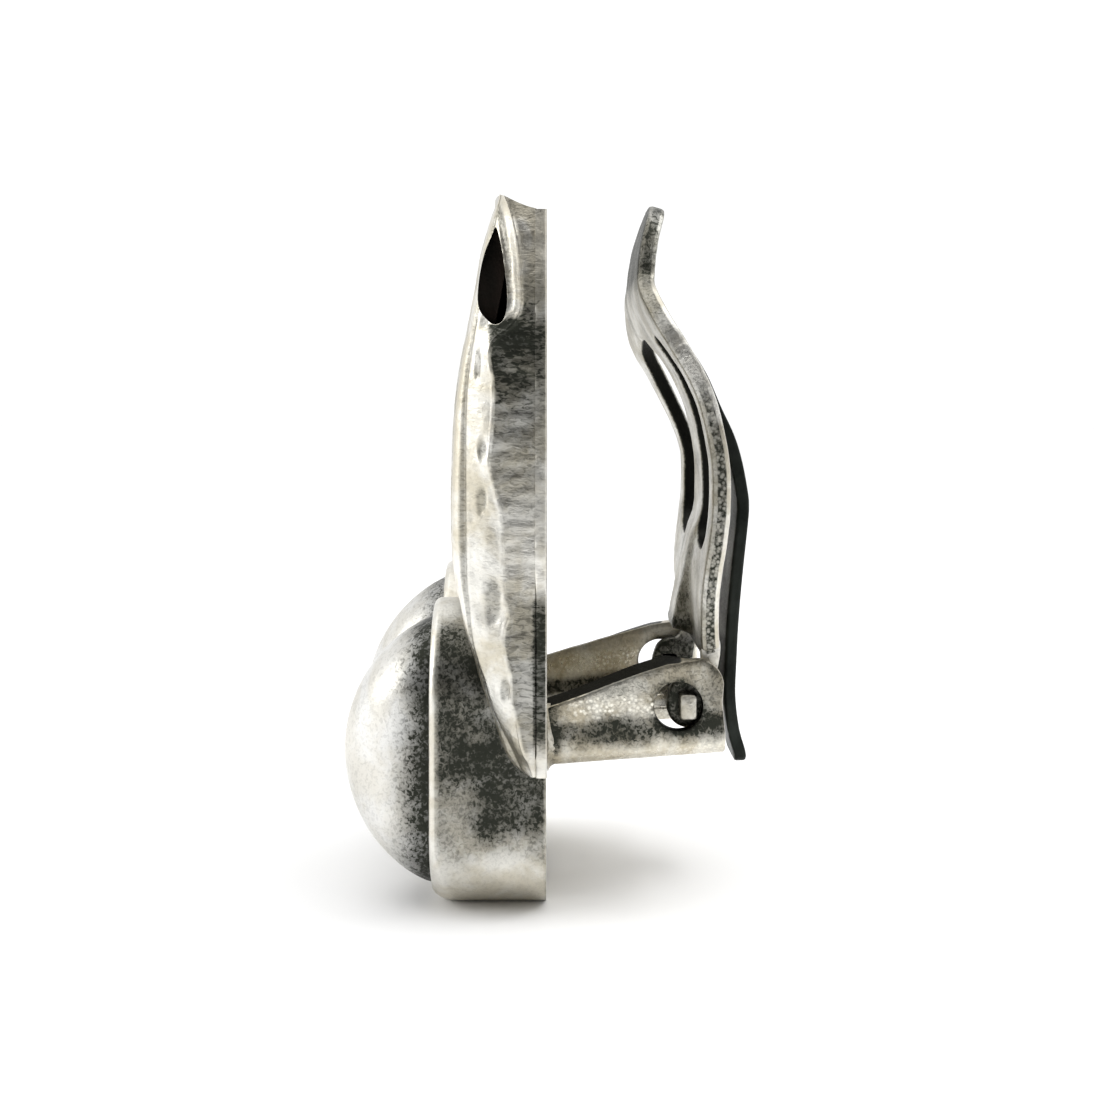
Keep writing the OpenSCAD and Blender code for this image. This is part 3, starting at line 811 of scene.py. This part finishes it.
def collar(near, name):
    """A deep cup with a rounded rim: outer wall, rim, inner wall and floor. near is the side."""
    count, steps = 260, 26
    rim, wall = -COLLAR_DEPTH, COLLAR_WALL
    cx = near * LOBE_X
    verts, dark = [], []
    for i in range(count):
        (x, z), (nx, nz) = stadium_point(i / count, LOBE_W, LOBE_LOW, LOBE_TOP[near])
        # The rim is rounder at the foot
        low = float(smoothstep(0.15, 0.95, -nz))
        ry, rr = 0.2 + 0.5 * low, 0.2 + 0.18 * low
        section = [(0.0, COLLAR_BACK)] + [(0.0, (rim + ry) * k / steps) for k in range(1, steps + 1)]
        section += [(rr * (1 - math.cos(math.radians(a))), rim + ry * (1 - math.sin(math.radians(a))))
                    for a in (15, 30, 45, 60, 75, 90)]
        section += [(wall - 0.08, rim), (wall - 0.03, rim + 0.015), (wall, rim + 0.06),
                    (wall, rim + 0.5), (wall, rim + 1.6), (wall, -PLATE_T)]
        for k, (d, y) in enumerate(section):
            px, pz = x - nx * d, z - nz * d
            if 0 < k <= steps + 3:
                worn = 0.012 + 0.012 * fractal(cx + px, y, pz, 0.9)
                px -= nx * worn
                pz -= nz * worn
            verts.append((cx + px, y, max(pz, STAND_Z) if k <= steps + 8 else pz))
            if k == 0:
                dark.append(0.35)
            elif k >= steps + 7:
                dark.append(0.85)
            elif k > steps:
                dark.append(0.05)
            else:
                dark.append(share(collar_tone(near, cx + px, y, pz, nx, nz)))
    m = len(section)
    faces = grid_faces(count, m, wrap_rows=True)
    floor, back = len(verts), len(verts) + 1
    verts += [(cx, -PLATE_T, 4.7), (cx, COLLAR_BACK, 4.7)]
    dark += [0.9, 0.3]
    for i in range(count):
        j = (i + 1) % count
        faces.append((i * m + m - 1, j * m + m - 1, floor))
        faces.append((i * m, back, j * m))
    return piece(name, verts, faces, M_COLLAR, "earring", "setting", 40, dark)


collars = [collar(-1, "collar_left"), collar(1, "collar_right")]
DOME_HALF = LOBE_W / 2 - COLLAR_WALL - DOME_GAP


def dome(near, name):
    """A full oval dome on a short skirt that stands in its collar. near is the side."""
    cx = near * LOBE_X
    low_z = LOBE_LOW + COLLAR_WALL + DOME_GAP
    high_z = LOBE_TOP[near] - COLLAR_WALL - DOME_GAP
    mid_z, half_z = (low_z + high_z) / 2, (high_z - low_z) / 2
    side_r = (half_z ** 2 + DOME_RISE ** 2) / (2 * DOME_RISE)
    na, nb = 150, 96
    verts, dark = [], []
    for i in range(1, na):
        a = -math.pi / 2 + math.pi * i / na
        dz = half_z * math.sin(a)
        over = max(0.0, abs(dz) - (half_z - DOME_HALF))
        w = math.sqrt(max(DOME_HALF ** 2 - over ** 2, 0.0))
        h = math.sqrt(side_r ** 2 - dz ** 2) - (side_r - DOME_RISE)
        for j in range(nb + 1):
            phi = -math.pi / 2 + math.pi * j / nb
            x = w * math.sin(phi)
            rise = h * math.cos(phi)
            y = -COLLAR_DEPTH - rise
            f = fractal(cx + x, y, dz, 1.3)
            verts.append((cx + x, y + 0.008 + 0.008 * f, mid_z + dz))
            # Darker towards the foot beside the collar and more on the outer side: painted shade, with
            # some tarnish
            out = smoothstep(-0.3, 0.7, near * math.sin(phi))
            rim = smoothstep(1.75 + 0.3 * f, 0.0, rise) ** 1.5
            dark.append(share(0.07 + (0.66 + 0.30 * out) * rim + 0.05 * f))
    m = nb + 1
    faces = grid_faces(na - 1, m)
    low, high = len(verts), len(verts) + 1
    verts += [(cx, -COLLAR_DEPTH, low_z), (cx, -COLLAR_DEPTH, high_z)]
    dark += [0.6, 0.6]
    for j in range(nb):
        faces.append((low, j + 1, j))
        faces.append((high, (na - 2) * m + j, (na - 2) * m + j + 1))
    loop = [low] + [i * m + nb for i in range(na - 1)] + [high] + [i * m for i in range(na - 2, -1, -1)]
    prev = loop
    for y in (-COLLAR_DEPTH + 0.25, -COLLAR_DEPTH + 0.9):
        start = len(verts)
        for k in loop:
            x, _, z = verts[k]
            verts.append((x, y, z))
            dark.append(0.95)
        new = list(range(start, start + len(loop)))
        faces += bridge(prev, new)
        prev = new
    faces.append(tuple(prev))
    return piece(name, verts, faces, M_DOME, "earring", "dome", 60, dark)


left_dome = dome(-1, "left_dome")
right_dome = dome(1, "right_dome")


# Hinge bracket
WEB_HALF = BRACKET_HALF - BEND_R
MID_R = BEND_R - BRACKET_T / 2
ARC = MID_R * math.pi / 2
SIN_T, COS_T = math.sin(BRACKET_TILT), math.cos(BRACKET_TILT)
# The notch in the web that the tongue passes through
NOTCH_HALF, NOTCH_DEPTH, NOTCH_R = 1.6, 2.0, 0.3
# Side view of an ear as [y, z]: its top edge, its round corner and its end, then the web's end
EAR_TOP = [(-0.2, 6.33), (0.0, 6.38), (1.2, 6.74), (2.6, 7.15), (3.6, 7.44)]
EAR_CORNER, EAR_CORNER_R = (4.47, 6.79), 0.77
EAR_END = [(5.20, 6.3), (5.24, 5.8)]
WEB_END = (5.33, 4.75)


def to_local(y, z):
    """World [y, z] to the bracket's own tilted [y, height]."""
    return y * COS_T + (z - BRACKET_Z) * SIN_T, -y * SIN_T + (z - BRACKET_Z) * COS_T


def on_bracket(u, v):
    """Middle surface of the channel: u runs out from the plate, v round the U."""
    a = abs(v)
    s = 1 if v >= 0 else -1
    if a <= WEB_HALF:
        x, z, nx, nz = a, BRACKET_T / 2, 0.0, -1.0
    elif a <= WEB_HALF + ARC:
        t = (a - WEB_HALF) / MID_R
        x, z = WEB_HALF + MID_R * math.sin(t), BEND_R - MID_R * math.cos(t)
        nx, nz = math.sin(t), -math.cos(t)
    else:
        x, z, nx, nz = BRACKET_HALF - BRACKET_T / 2, BEND_R + a - WEB_HALF - ARC, 1.0, 0.0
    y, zz = u * COS_T - z * SIN_T, BRACKET_Z + u * SIN_T + z * COS_T
    return (s * x, y, zz), (s * nx, -nz * SIN_T, nz * COS_T)


def ear_v(y, z):
    """World [y, z] on an ear to the flat's u and v."""
    u, h = to_local(y, z)
    return u, WEB_HALF + ARC + h - BEND_R


TOP_U, TOP_V = np.array([ear_v(y, z) for y, z in EAR_TOP]).T
BORE_U, BORE_V = ear_v(*HINGE)


def bracket_outline():
    """The channel's outline in the flat: two ears and the notched web between them."""
    corner = arc(*EAR_CORNER, EAR_CORNER_R, 92, 4, 10)
    u_end = to_local(*WEB_END)[0]
    right = [ear_v(*p) for p in EAR_TOP + corner + EAR_END]
    right += [(u_end, WEB_HALF + ARC * 0.9), (u_end, NOTCH_HALF), (u_end - NOTCH_DEPTH, NOTCH_HALF)]
    outline = right + [(u, -v) for u, v in right[::-1]]
    outline = outline[::-1]
    radii = [NOTCH_R if abs(abs(v) - NOTCH_HALF) < 1e-6 else 0.0 for _, v in outline]
    return turned(resample(fillet(outline, radii), 0.11))


def sheared(u, v, face, below):
    """Rise of an ear's top edge, which is low outside at the plate and high inside at the bore."""
    by_top = smoothstep(0.45, 0.0, below) * smoothstep(4.6, 3.6, u)
    outer = -0.20 * smoothstep(3.6, 0.2, u)
    inner = 0.22 * smoothstep(0.5, 3.2, u) * smoothstep(-1, 1, v)
    return by_top * (outer + inner + face * (outer - inner)) / 2


def bracket_tone(point, flat, below):
    """Tarnish, painted shade and painted glints of the bracket. below is the way down from the ear's top
    edge.
    """
    x, y, z = point
    u, v, edge, face = flat
    h = abs(v) - WEB_HALF - ARC + BEND_R + 0.10 * fractal(x, y, z, 0.8)
    ring = math.hypot(u - BORE_U, abs(v) - BORE_V)
    low = smoothstep(0.66, 0.84, h) * smoothstep(1.5, 1.2, h)
    end = smoothstep(4.5, 4.9, y) * (1 - 0.6 * smoothstep(1.3, 0.7, h))
    # Painted shade in a ring round the bore
    bore_shade = smoothstep(BORE_R + 0.2, BORE_R + 0.05, ring)
    root = smoothstep(0.5, 0.1, y)
    # A painted highlight band along the ear, lightened and given glints
    ear_highlight = smoothstep(1.35, 1.6, h) * smoothstep(2.25, 1.9, h) * smoothstep(0.2, 0.9, y)
    ear_highlight = ear_highlight * smoothstep(3.5, 2.9, y)
    # The web is lightened and given glints as a painted highlight
    web = smoothstep(0.66, 0.5, h)
    glints = (ear_highlight + 0.5 * web * smoothstep(0.2, 0.5, y)) * (0.75 + 0.9 * fractal(x, y, z, 0.45))
    val = 0.52 + 0.36 * low + 0.1 * end + 0.3 * bore_shade + 0.35 * root - 0.50 * web - 0.27 * ear_highlight
    # On the inner face a band low down is painted shade from the facing ear
    if face < 0:
        val = 0.95 * smoothstep(1.45, 1.1, h) * smoothstep(0.5, 0.8, h) + 0.25 * smoothstep(2.0, 2.3, h)
        val = val + 0.3 * bore_shade
    val = share(val + 0.12 * fractal(x, y, z, 0.6))
    # Painted black shade on the ears' top cut faces and the bore walls, and painted shade beside the top
    # edges
    if below < 0.01 and edge > 0.9 and u < 4.2:
        val = BLACK_SHADE_SHARE
    elif below < 0.1 and edge > 0.2 and u < 4.2:
        val = 0.15
    elif ring < BORE_R + 0.01:
        val = BLACK_SHADE_SHARE
    elif edge > 0.9:
        val = 0.3
    return val, share(glints)


def bracket():
    bores = [np.array(arc(BORE_U, s * BORE_V, BORE_R, 0, -360 + 360 / 44, 43)) for s in (-1, 1)]
    verts, faces, flats = sheet_metal([bracket_outline()] + bores, on_bracket, BRACKET_T, 0.07, 0.2)
    tones = []
    for i, ((x, y, z), flat) in enumerate(zip(verts, flats)):
        u, v, _, face = flat
        below = np.interp(u, TOP_U, TOP_V) - abs(v)
        z += sheared(u, v, face, below)
        w = 0.012 * fractal(x, y, z, 0.7)
        verts[i] = (x + w, y, z + w)
        tones.append(bracket_tone((x, y, z), flat, below))
    return piece("hinge_bracket", verts, faces, M_BRACKET, "earring", "setting", 40, *zip(*tones))


def solder_fillet():
    """Solder that fills the corner between the bracket and the plate."""
    verts, dark = [], []
    end = WEB_HALF + ARC + 1.15
    stations = np.linspace(-end, end, 90)
    steps = 6
    for v in stations:
        size = 0.26 + 0.06 * noise.noise(Vector((v * 1.3, 0.2, 0.7)))
        for k in range(steps + 1):
            t = k / steps
            u = size * (1 - math.cos(t * math.pi / 2))
            lift = size * (1 - math.sin(t * math.pi / 2))
            (x, y, z), (nx, ny, nz) = on_bracket(u + 0.02, v)
            off = BRACKET_T / 2 + lift - 0.01
            verts.append((x + nx * off, max(y + ny * off, -0.02), z + nz * off))
            dark.append(0.45)
        (x, y, z), (nx, ny, nz) = on_bracket(-0.03, v)
        verts.append((x + nx * 0.1, -0.05, z + nz * 0.1))
        dark.append(0.5)
    faces = tube_faces(len(stations), steps + 2)
    return piece("bracket_solder", verts, faces, M_BRACKET, "earring", "setting", 60, dark)


hinge_bracket = bracket()
bracket_solder = solder_fillet()


# Lever
# Front face of the paddle in side view, [z, y], from the neck to the tip
LEVER = [(7.2, 4.80), (7.5, 4.70), (7.9, 4.57), (8.8, 4.50), (9.8, 4.50), (11.15, 4.67), (12.0, 4.76),
         (13.0, 4.77), (13.8, 4.69), (14.97, 4.43), (15.84, 4.08), (16.6, 3.64), (17.6, 3.07),
         (18.5, 2.73), (19.2, 2.74), (19.8, 2.81), (20.4, 2.93), (21.1, 3.14), (21.44, 3.24)]
LEVER_CURVE = catmull(LEVER, 10)
# Half width by height, above the shoulders
HALF_W = [(21.42, 0.0), (21.41, 0.6), (21.36, 1.2), (21.24, 1.75), (21.0, 2.2), (20.55, 2.62),
          (20.0, 2.9), (19.5, 3.1), (19.0, 3.3), (18.5, 3.9), (18.0, 4.42), (17.4, 4.86),
          (16.8, 5.1), (16.0, 5.2), (11.5, 5.2), (10.3, 5.02), (9.3, 4.75), (8.5, 4.42)]
# How far the pressed rib stands forward, by height
RIB = [(7.9, 0.0), (7.98, 0.45), (8.06, 0.60), (8.31, 0.54), (8.64, 0.46), (8.97, 0.38), (9.4, 0.28),
       (9.8, 0.20), (10.5, 0.14), (11.2, 0.08), (12.0, 0.0)]
RIB_CURVE = catmull(RIB, 8)
NECK = 3.41
NECK_Z = 7.38
SHOULDER = 4.22
SHOULDER_Z = 7.82
BAR_BACK = 0.14
FAR_EDGE_FORWARD = 0.42
# One slot as [x, z]
SLOT = [(1.2, 12.0), (1.25, 11.3), (1.65, 10.9), (2.5, 10.74), (3.3, 10.85), (3.85, 11.3),
        (4.05, 12.0), (4.1, 13.6), (4.12, 14.8), (4.05, 15.9), (3.5, 16.75), (2.4, 17.15),
        (1.6, 17.1), (1.22, 16.6), (1.2, 15.5), (1.2, 13.8)]
# Tarnish of the lever's cut edges by height, as [z, share]
LEVER_TONE = [(7.2, 0.85), (8.0, 0.9), (9.5, 0.9), (12.0, 0.86), (14.5, 0.82), (15.4, 0.75), (15.75, 0.2),
              (16.0, 0.0), (16.8, 0.0), (17.1, 0.45), (18.6, 0.55), (19.2, 0.85), (20.4, 0.9),
              (21.4, 0.85)]


def on_lever(u, v):
    """Middle surface of the paddle: u across, v the height."""
    y = table_at(LEVER_CURVE, v)
    dy = (table_at(LEVER_CURVE, v + 0.05) - table_at(LEVER_CURVE, v - 0.05)) / 0.1
    n = math.hypot(1.0, dy)
    ny, nz = 1.0 / n, -dy / n
    rib = float(np.interp(v, RIB_CURVE[:, 0], RIB_CURVE[:, 1], 0, 0))
    across = float(smoothstep(1.5, 0.85, abs(u)))
    y -= rib * across
    y += BAR_BACK * float(smoothstep(10.9, 11.8, v) * smoothstep(17.4, 16.4, v)) * across
    bent = smoothstep(13.2, 15.9, v) * smoothstep(19.0, 16.6, v) * smoothstep(-1.0, -5.0, u)
    y -= FAR_EDGE_FORWARD * float(bent)
    return (u, y + ny * LEVER_T / 2, v + nz * LEVER_T / 2), (0.0, ny, nz)


def lever_corner(w, z):
    """Radius of a corner of the lever's outline."""
    if abs(abs(w) - SHOULDER) < 1e-6 or abs(z - NECK_Z) < 1e-6:
        return 0.22
    return 0.12 if abs(z - SHOULDER_Z) < 1e-6 else 0.0


def lever_outline():
    curve = catmull([(w, z) for z, w in HALF_W], 5)
    right = [tuple(p) for p in curve] + [(SHOULDER, SHOULDER_Z), (NECK, SHOULDER_Z), (NECK, NECK_Z)]
    left = [(-w, z) for w, z in right[::-1]][:-1]
    loop = right + left
    return turned(resample(fillet(loop, [lever_corner(w, z) for w, z in loop]), 0.12))


def lever_tone(point, flat):
    """Tarnish, painted black shade and painted glints of the lever."""
    x, y, z = point
    u, v, edge, face = flat
    f = fractal(x, y * 0.6, z, 0.8, 4)
    by_slot = edge > 0.2 and 10.5 < v < 17.3 and abs(u) < 4.3
    by_rim = edge > 0.2 and not by_slot
    rim_wall = by_rim and abs(face) < 0.9
    tip = float(smoothstep(18.4, 19.2, v))
    # Painted black shade on the slots' cut walls
    if by_slot:
        val = BLACK_SHADE_SHARE if edge > 0.9 else 0.25
    elif rim_wall:
        val = share(tone(LEVER_TONE, v) + 0.12 * f)
    elif by_rim:
        val = 0.4 if face < 0 else 0.0
        val = val + (0.7 - val) * tip
    elif face > 0:
        val = share(0.25 + 0.3 * f)
    else:
        rib = smoothstep(11.6, 10.4, v) * smoothstep(1.6, 1.3, abs(u)) * smoothstep(0.7, 0.95, abs(u))
        low = smoothstep(8.7, 8.1, v)
        neck = smoothstep(8.0, 7.7, v)
        val = share(0.3 + 0.3 * rib + 0.75 * tip + 0.2 * f + 0.5 * low + 0.2 * neck)
    # Painted glints on the rim wall below z 15.5
    return val, 0.3 if rim_wall and v < 15.5 else 0.0


def paddle():
    slots = [turned(catmull_closed([(s * x, z) for x, z in SLOT], 5), False) for s in (-1, 1)]
    verts, faces, flats = sheet_metal([lever_outline()] + slots, on_lever, LEVER_T, 0.12, 0.21)
    tones = []
    for i, ((x, y, z), flat) in enumerate(zip(verts, flats)):
        tones.append(lever_tone((x, y, z), flat))
        f = fractal(x, y * 0.6, z, 0.8, 4)
        verts[i] = (x + 0.01 * f, y + 0.014 * f, z)
    return piece("lever_plate", verts, faces, M_LEVER, "clip", "clip", 40, *zip(*tones))


lever_plate = paddle()

# Cheeks that join the lever's neck to its nubs, as a [y, z] outline
CHEEK = [(4.62, 7.9), (4.62, 7.35), (4.45, 7.1), (4.1, 7.02), (3.81, 6.84), (3.66, 6.5), (3.6, 6.2),
         (3.62, 5.9), (3.75, 5.65), (4.0, 5.47), (4.35, 5.42), (4.7, 5.55), (4.87, 5.86), (4.98, 6.3),
         (5.05, 6.8), (5.12, 7.2), (5.2, 7.7), (5.15, 8.1), (4.8, 8.15)]
CHEEK_T = 0.45
# A nub's section about the hinge, low and high in y and z, and its rounding
NUB_Y = (0.05, 0.57)
NUB_Z = (-0.43, 0.34)
NUB_R = 0.12
# The nub's sections along x, as [x, how far each side is drawn in]
NUB = [(2.96, 0.0), (3.3, 0.0), (3.6, 0.0), (3.86, 0.0), (3.92, 0.03), (3.94, 0.08)]


def hinge_cheek(side, name):
    """side is the sign of x."""
    def place(u, v):
        return (side * (NECK - CHEEK_T / 2), u, v), (side, 0.0, 0.0)

    outline = resample(catmull_closed(CHEEK, 3), 0.1)
    verts, faces, flats = sheet_metal([outline], place, CHEEK_T, 0.08, 0.2)
    # Painted shade darkens the cheek, its faces above z 7.4 less
    dark = [share(0.9 - 0.7 * smoothstep(7.0, 7.4, z) * abs(flat[3]))
            for (_, _, z), flat in zip(verts, flats)]
    return piece(name, verts, faces, M_LEVER, "clip", "clip", 45, dark)


def hinge_nub(side, name):
    """side is the sign of x."""
    y0, y1 = HINGE[0] + NUB_Y[0], HINGE[0] + NUB_Y[1]
    z0, z1 = HINGE[1] + NUB_Z[0], HINGE[1] + NUB_Z[1]
    verts = []
    for x, k in NUB:
        corners = [(y0 + k, z0 + k), (y1 - k, z0 + k), (y1 - k, z1 - k), (y0 + k, z1 - k)]
        ring = fillet(corners, [NUB_R] * 4, 4)
        verts += [(side * x, y, z) for y, z in ring]
    faces = tube_faces(len(NUB), len(ring))
    # The nub is darker but for the end that shows in the bore
    dark = [0.75 if i < 4 * len(ring) else 0.22 for i in range(len(verts))]
    return piece(name, verts, faces, M_LEVER, "clip", "clip", 50, dark)


for make, word in ((hinge_cheek, "hinge_cheek_"), (hinge_nub, "hinge_nub_")):
    make(-1, word + "left")
    make(1, word + "right")

# Spring tongue
# Its middle line in side view, [z, y], from its root on the paddle to its free end
TONGUE = [(17.64, 3.49), (17.1, 4.07), (16.6, 4.48), (15.9, 4.9), (14.95, 5.31), (14.07, 5.72),
          (13.25, 5.97), (12.28, 6.15), (11.9, 6.18), (11.4, 6.15), (9.7, 5.97), (8.29, 5.85),
          (7.06, 5.785), (5.9, 5.75), (4.86, 5.87), (4.13, 6.07), (3.79, 6.1)]
TONGUE_LINE = catmull(TONGUE, 8)
TONGUE_WAY = np.concatenate([[0], np.cumsum(np.linalg.norm(np.diff(TONGUE_LINE, axis=0), axis=1))])
TONGUE_HALF = 1.2


def tongue_at(v):
    """The middle line's z and y, v the way along it."""
    return np.interp(v, TONGUE_WAY, TONGUE_LINE[:, 0]), np.interp(v, TONGUE_WAY, TONGUE_LINE[:, 1])


def on_tongue(u, v):
    """Middle surface of the tongue: u across, v the way along it from its root."""
    z, y = tongue_at(v)
    z1, y1 = tongue_at(v + 0.1)
    z0, y0 = tongue_at(v - 0.1)
    dz, dy = z1 - z0, y1 - y0
    n = math.hypot(dz, dy) or 1.0
    return (u, y, z), (0.0, -dz / n, dy / n)


def tongue():
    root, end = 0.05, TONGUE_WAY[-1] - 0.02
    corners = [(-TONGUE_HALF, root), (TONGUE_HALF, root), (TONGUE_HALF, end), (-TONGUE_HALF, end)]
    outline = turned(resample(fillet(corners, [0.1, 0.1, 0.45, 0.45], 6), 0.14))
    verts, faces, _ = sheet_metal([outline], on_tongue, TONGUE_T, 0.08, 0.25)
    dark = [share(0.3 + 0.5 * fractal(x, y, z, 0.9)) for x, y, z in verts]
    return piece("spring_tongue", verts, faces, M_TONGUE, "clip", "clip", 45, dark)


spring_tongue = tongue()

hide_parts("setting")
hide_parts("setting")
for c in collars:
    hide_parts("setting")
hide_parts("setting")
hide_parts("setting")
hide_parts("dome_left")
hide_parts("dome_right")
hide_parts("clip_lever")
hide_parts("clip_lever")


# Stage, light and camera
def floor_white():
    m = bpy.data.materials.new("floor_white")
    m.use_nodes = True
    b = m.node_tree.nodes["Principled BSDF"]
    b.inputs["Base Color"].default_value = (0.93, 0.93, 0.93, 1)
    b.inputs["Roughness"].default_value = 0.9
    b.inputs["Specular IOR Level"].default_value = 0.1
    return m


def stage_floor(half):
    """A square floor, half its width in metres."""
    mesh = bpy.data.meshes.new("floor")
    mesh.from_pydata([(-half, -half, 0), (half, -half, 0), (half, half, 0), (-half, half, 0)],
                     [], [(0, 1, 2, 3)])
    mesh.materials.append(floor_white())
    add_object("floor", mesh)


stage_floor(0.6)


def studio(side_dark, bright):
    """White all round but for a dark stretch towards +X, which the metal's side faces mirror."""
    world = bpy.data.worlds.new("studio")
    bpy.context.scene.world = world
    world.use_nodes = True
    n = Nodes(world.node_tree)
    to_side = n.add("SeparateXYZ", {0: n.add("TexCoord", {}, "Generated")}, "X")
    light = n.ramp(to_side, 0.35, 0.9, bright, side_dark)
    # The camera itself sees plain white behind the stage
    seen = n.add("LightPath", {}, "Is Camera Ray")
    strength = n.add("Mix", {"Factor": seen, 2: light, 3: 1.1}, data_type="FLOAT")
    n.add("OutputWorld", {"Surface": n.add("Background", {"Color": (1, 1, 1), "Strength": strength})})


studio(0.09, 1.0)


def area_light(name, loc, size, power):
    """A square lamp aimed at the earring."""
    data = bpy.data.lights.new(name, "AREA")
    data.shape = "SQUARE"
    data.size = size
    data.energy = power
    obj = add_object(name, data)
    obj.location = loc
    obj.rotation_euler = (Vector((0, 0, 0.01)) - Vector(loc)).to_track_quat("-Z", "Y").to_euler()


def ceiling_light(power, spread):
    """Soft light from straight above."""
    sun = bpy.data.lights.new("ceiling", "SUN")
    sun.energy = power
    sun.angle = math.radians(spread)
    add_object("ceiling", sun)


def plain_view():
    settings = bpy.context.scene.view_settings
    settings.view_transform = "Standard"
    settings.look = "None"
    settings.exposure = 0.0
    settings.gamma = 1.0


# The photo's width, its row level with the lens and its focal length, all in pixels
PHOTO = 1094
LEVEL_ROW = 390
FOCAL = 1488
# The lens, in millimetres: level with the plate's rear face, this far along x and this high
LENS_X, LENS_Z = 48, 15.55


def photo_camera():
    data = bpy.data.cameras.new("camera")
    data.sensor_width = 36
    data.lens = 36 * FOCAL / PHOTO
    data.shift_y = (LEVEL_ROW - PHOTO / 2) / PHOTO
    data.clip_start, data.clip_end = 0.001, 5
    obj = add_object("camera", data)
    obj.location = (LENS_X * MM, Y_SHIFT * MM, (LENS_Z - STAND_Z) * MM)
    obj.rotation_euler = (math.radians(90), 0, math.radians(90))
    bpy.context.scene.camera = obj


area_light("key_front", (0.02, -0.13, 0.07), 0.09, 0.06)
area_light("back_top", (0.0, 0.10, 0.12), 0.08, 0.09)
ceiling_light(0.7, 70)
plain_view()
photo_camera()
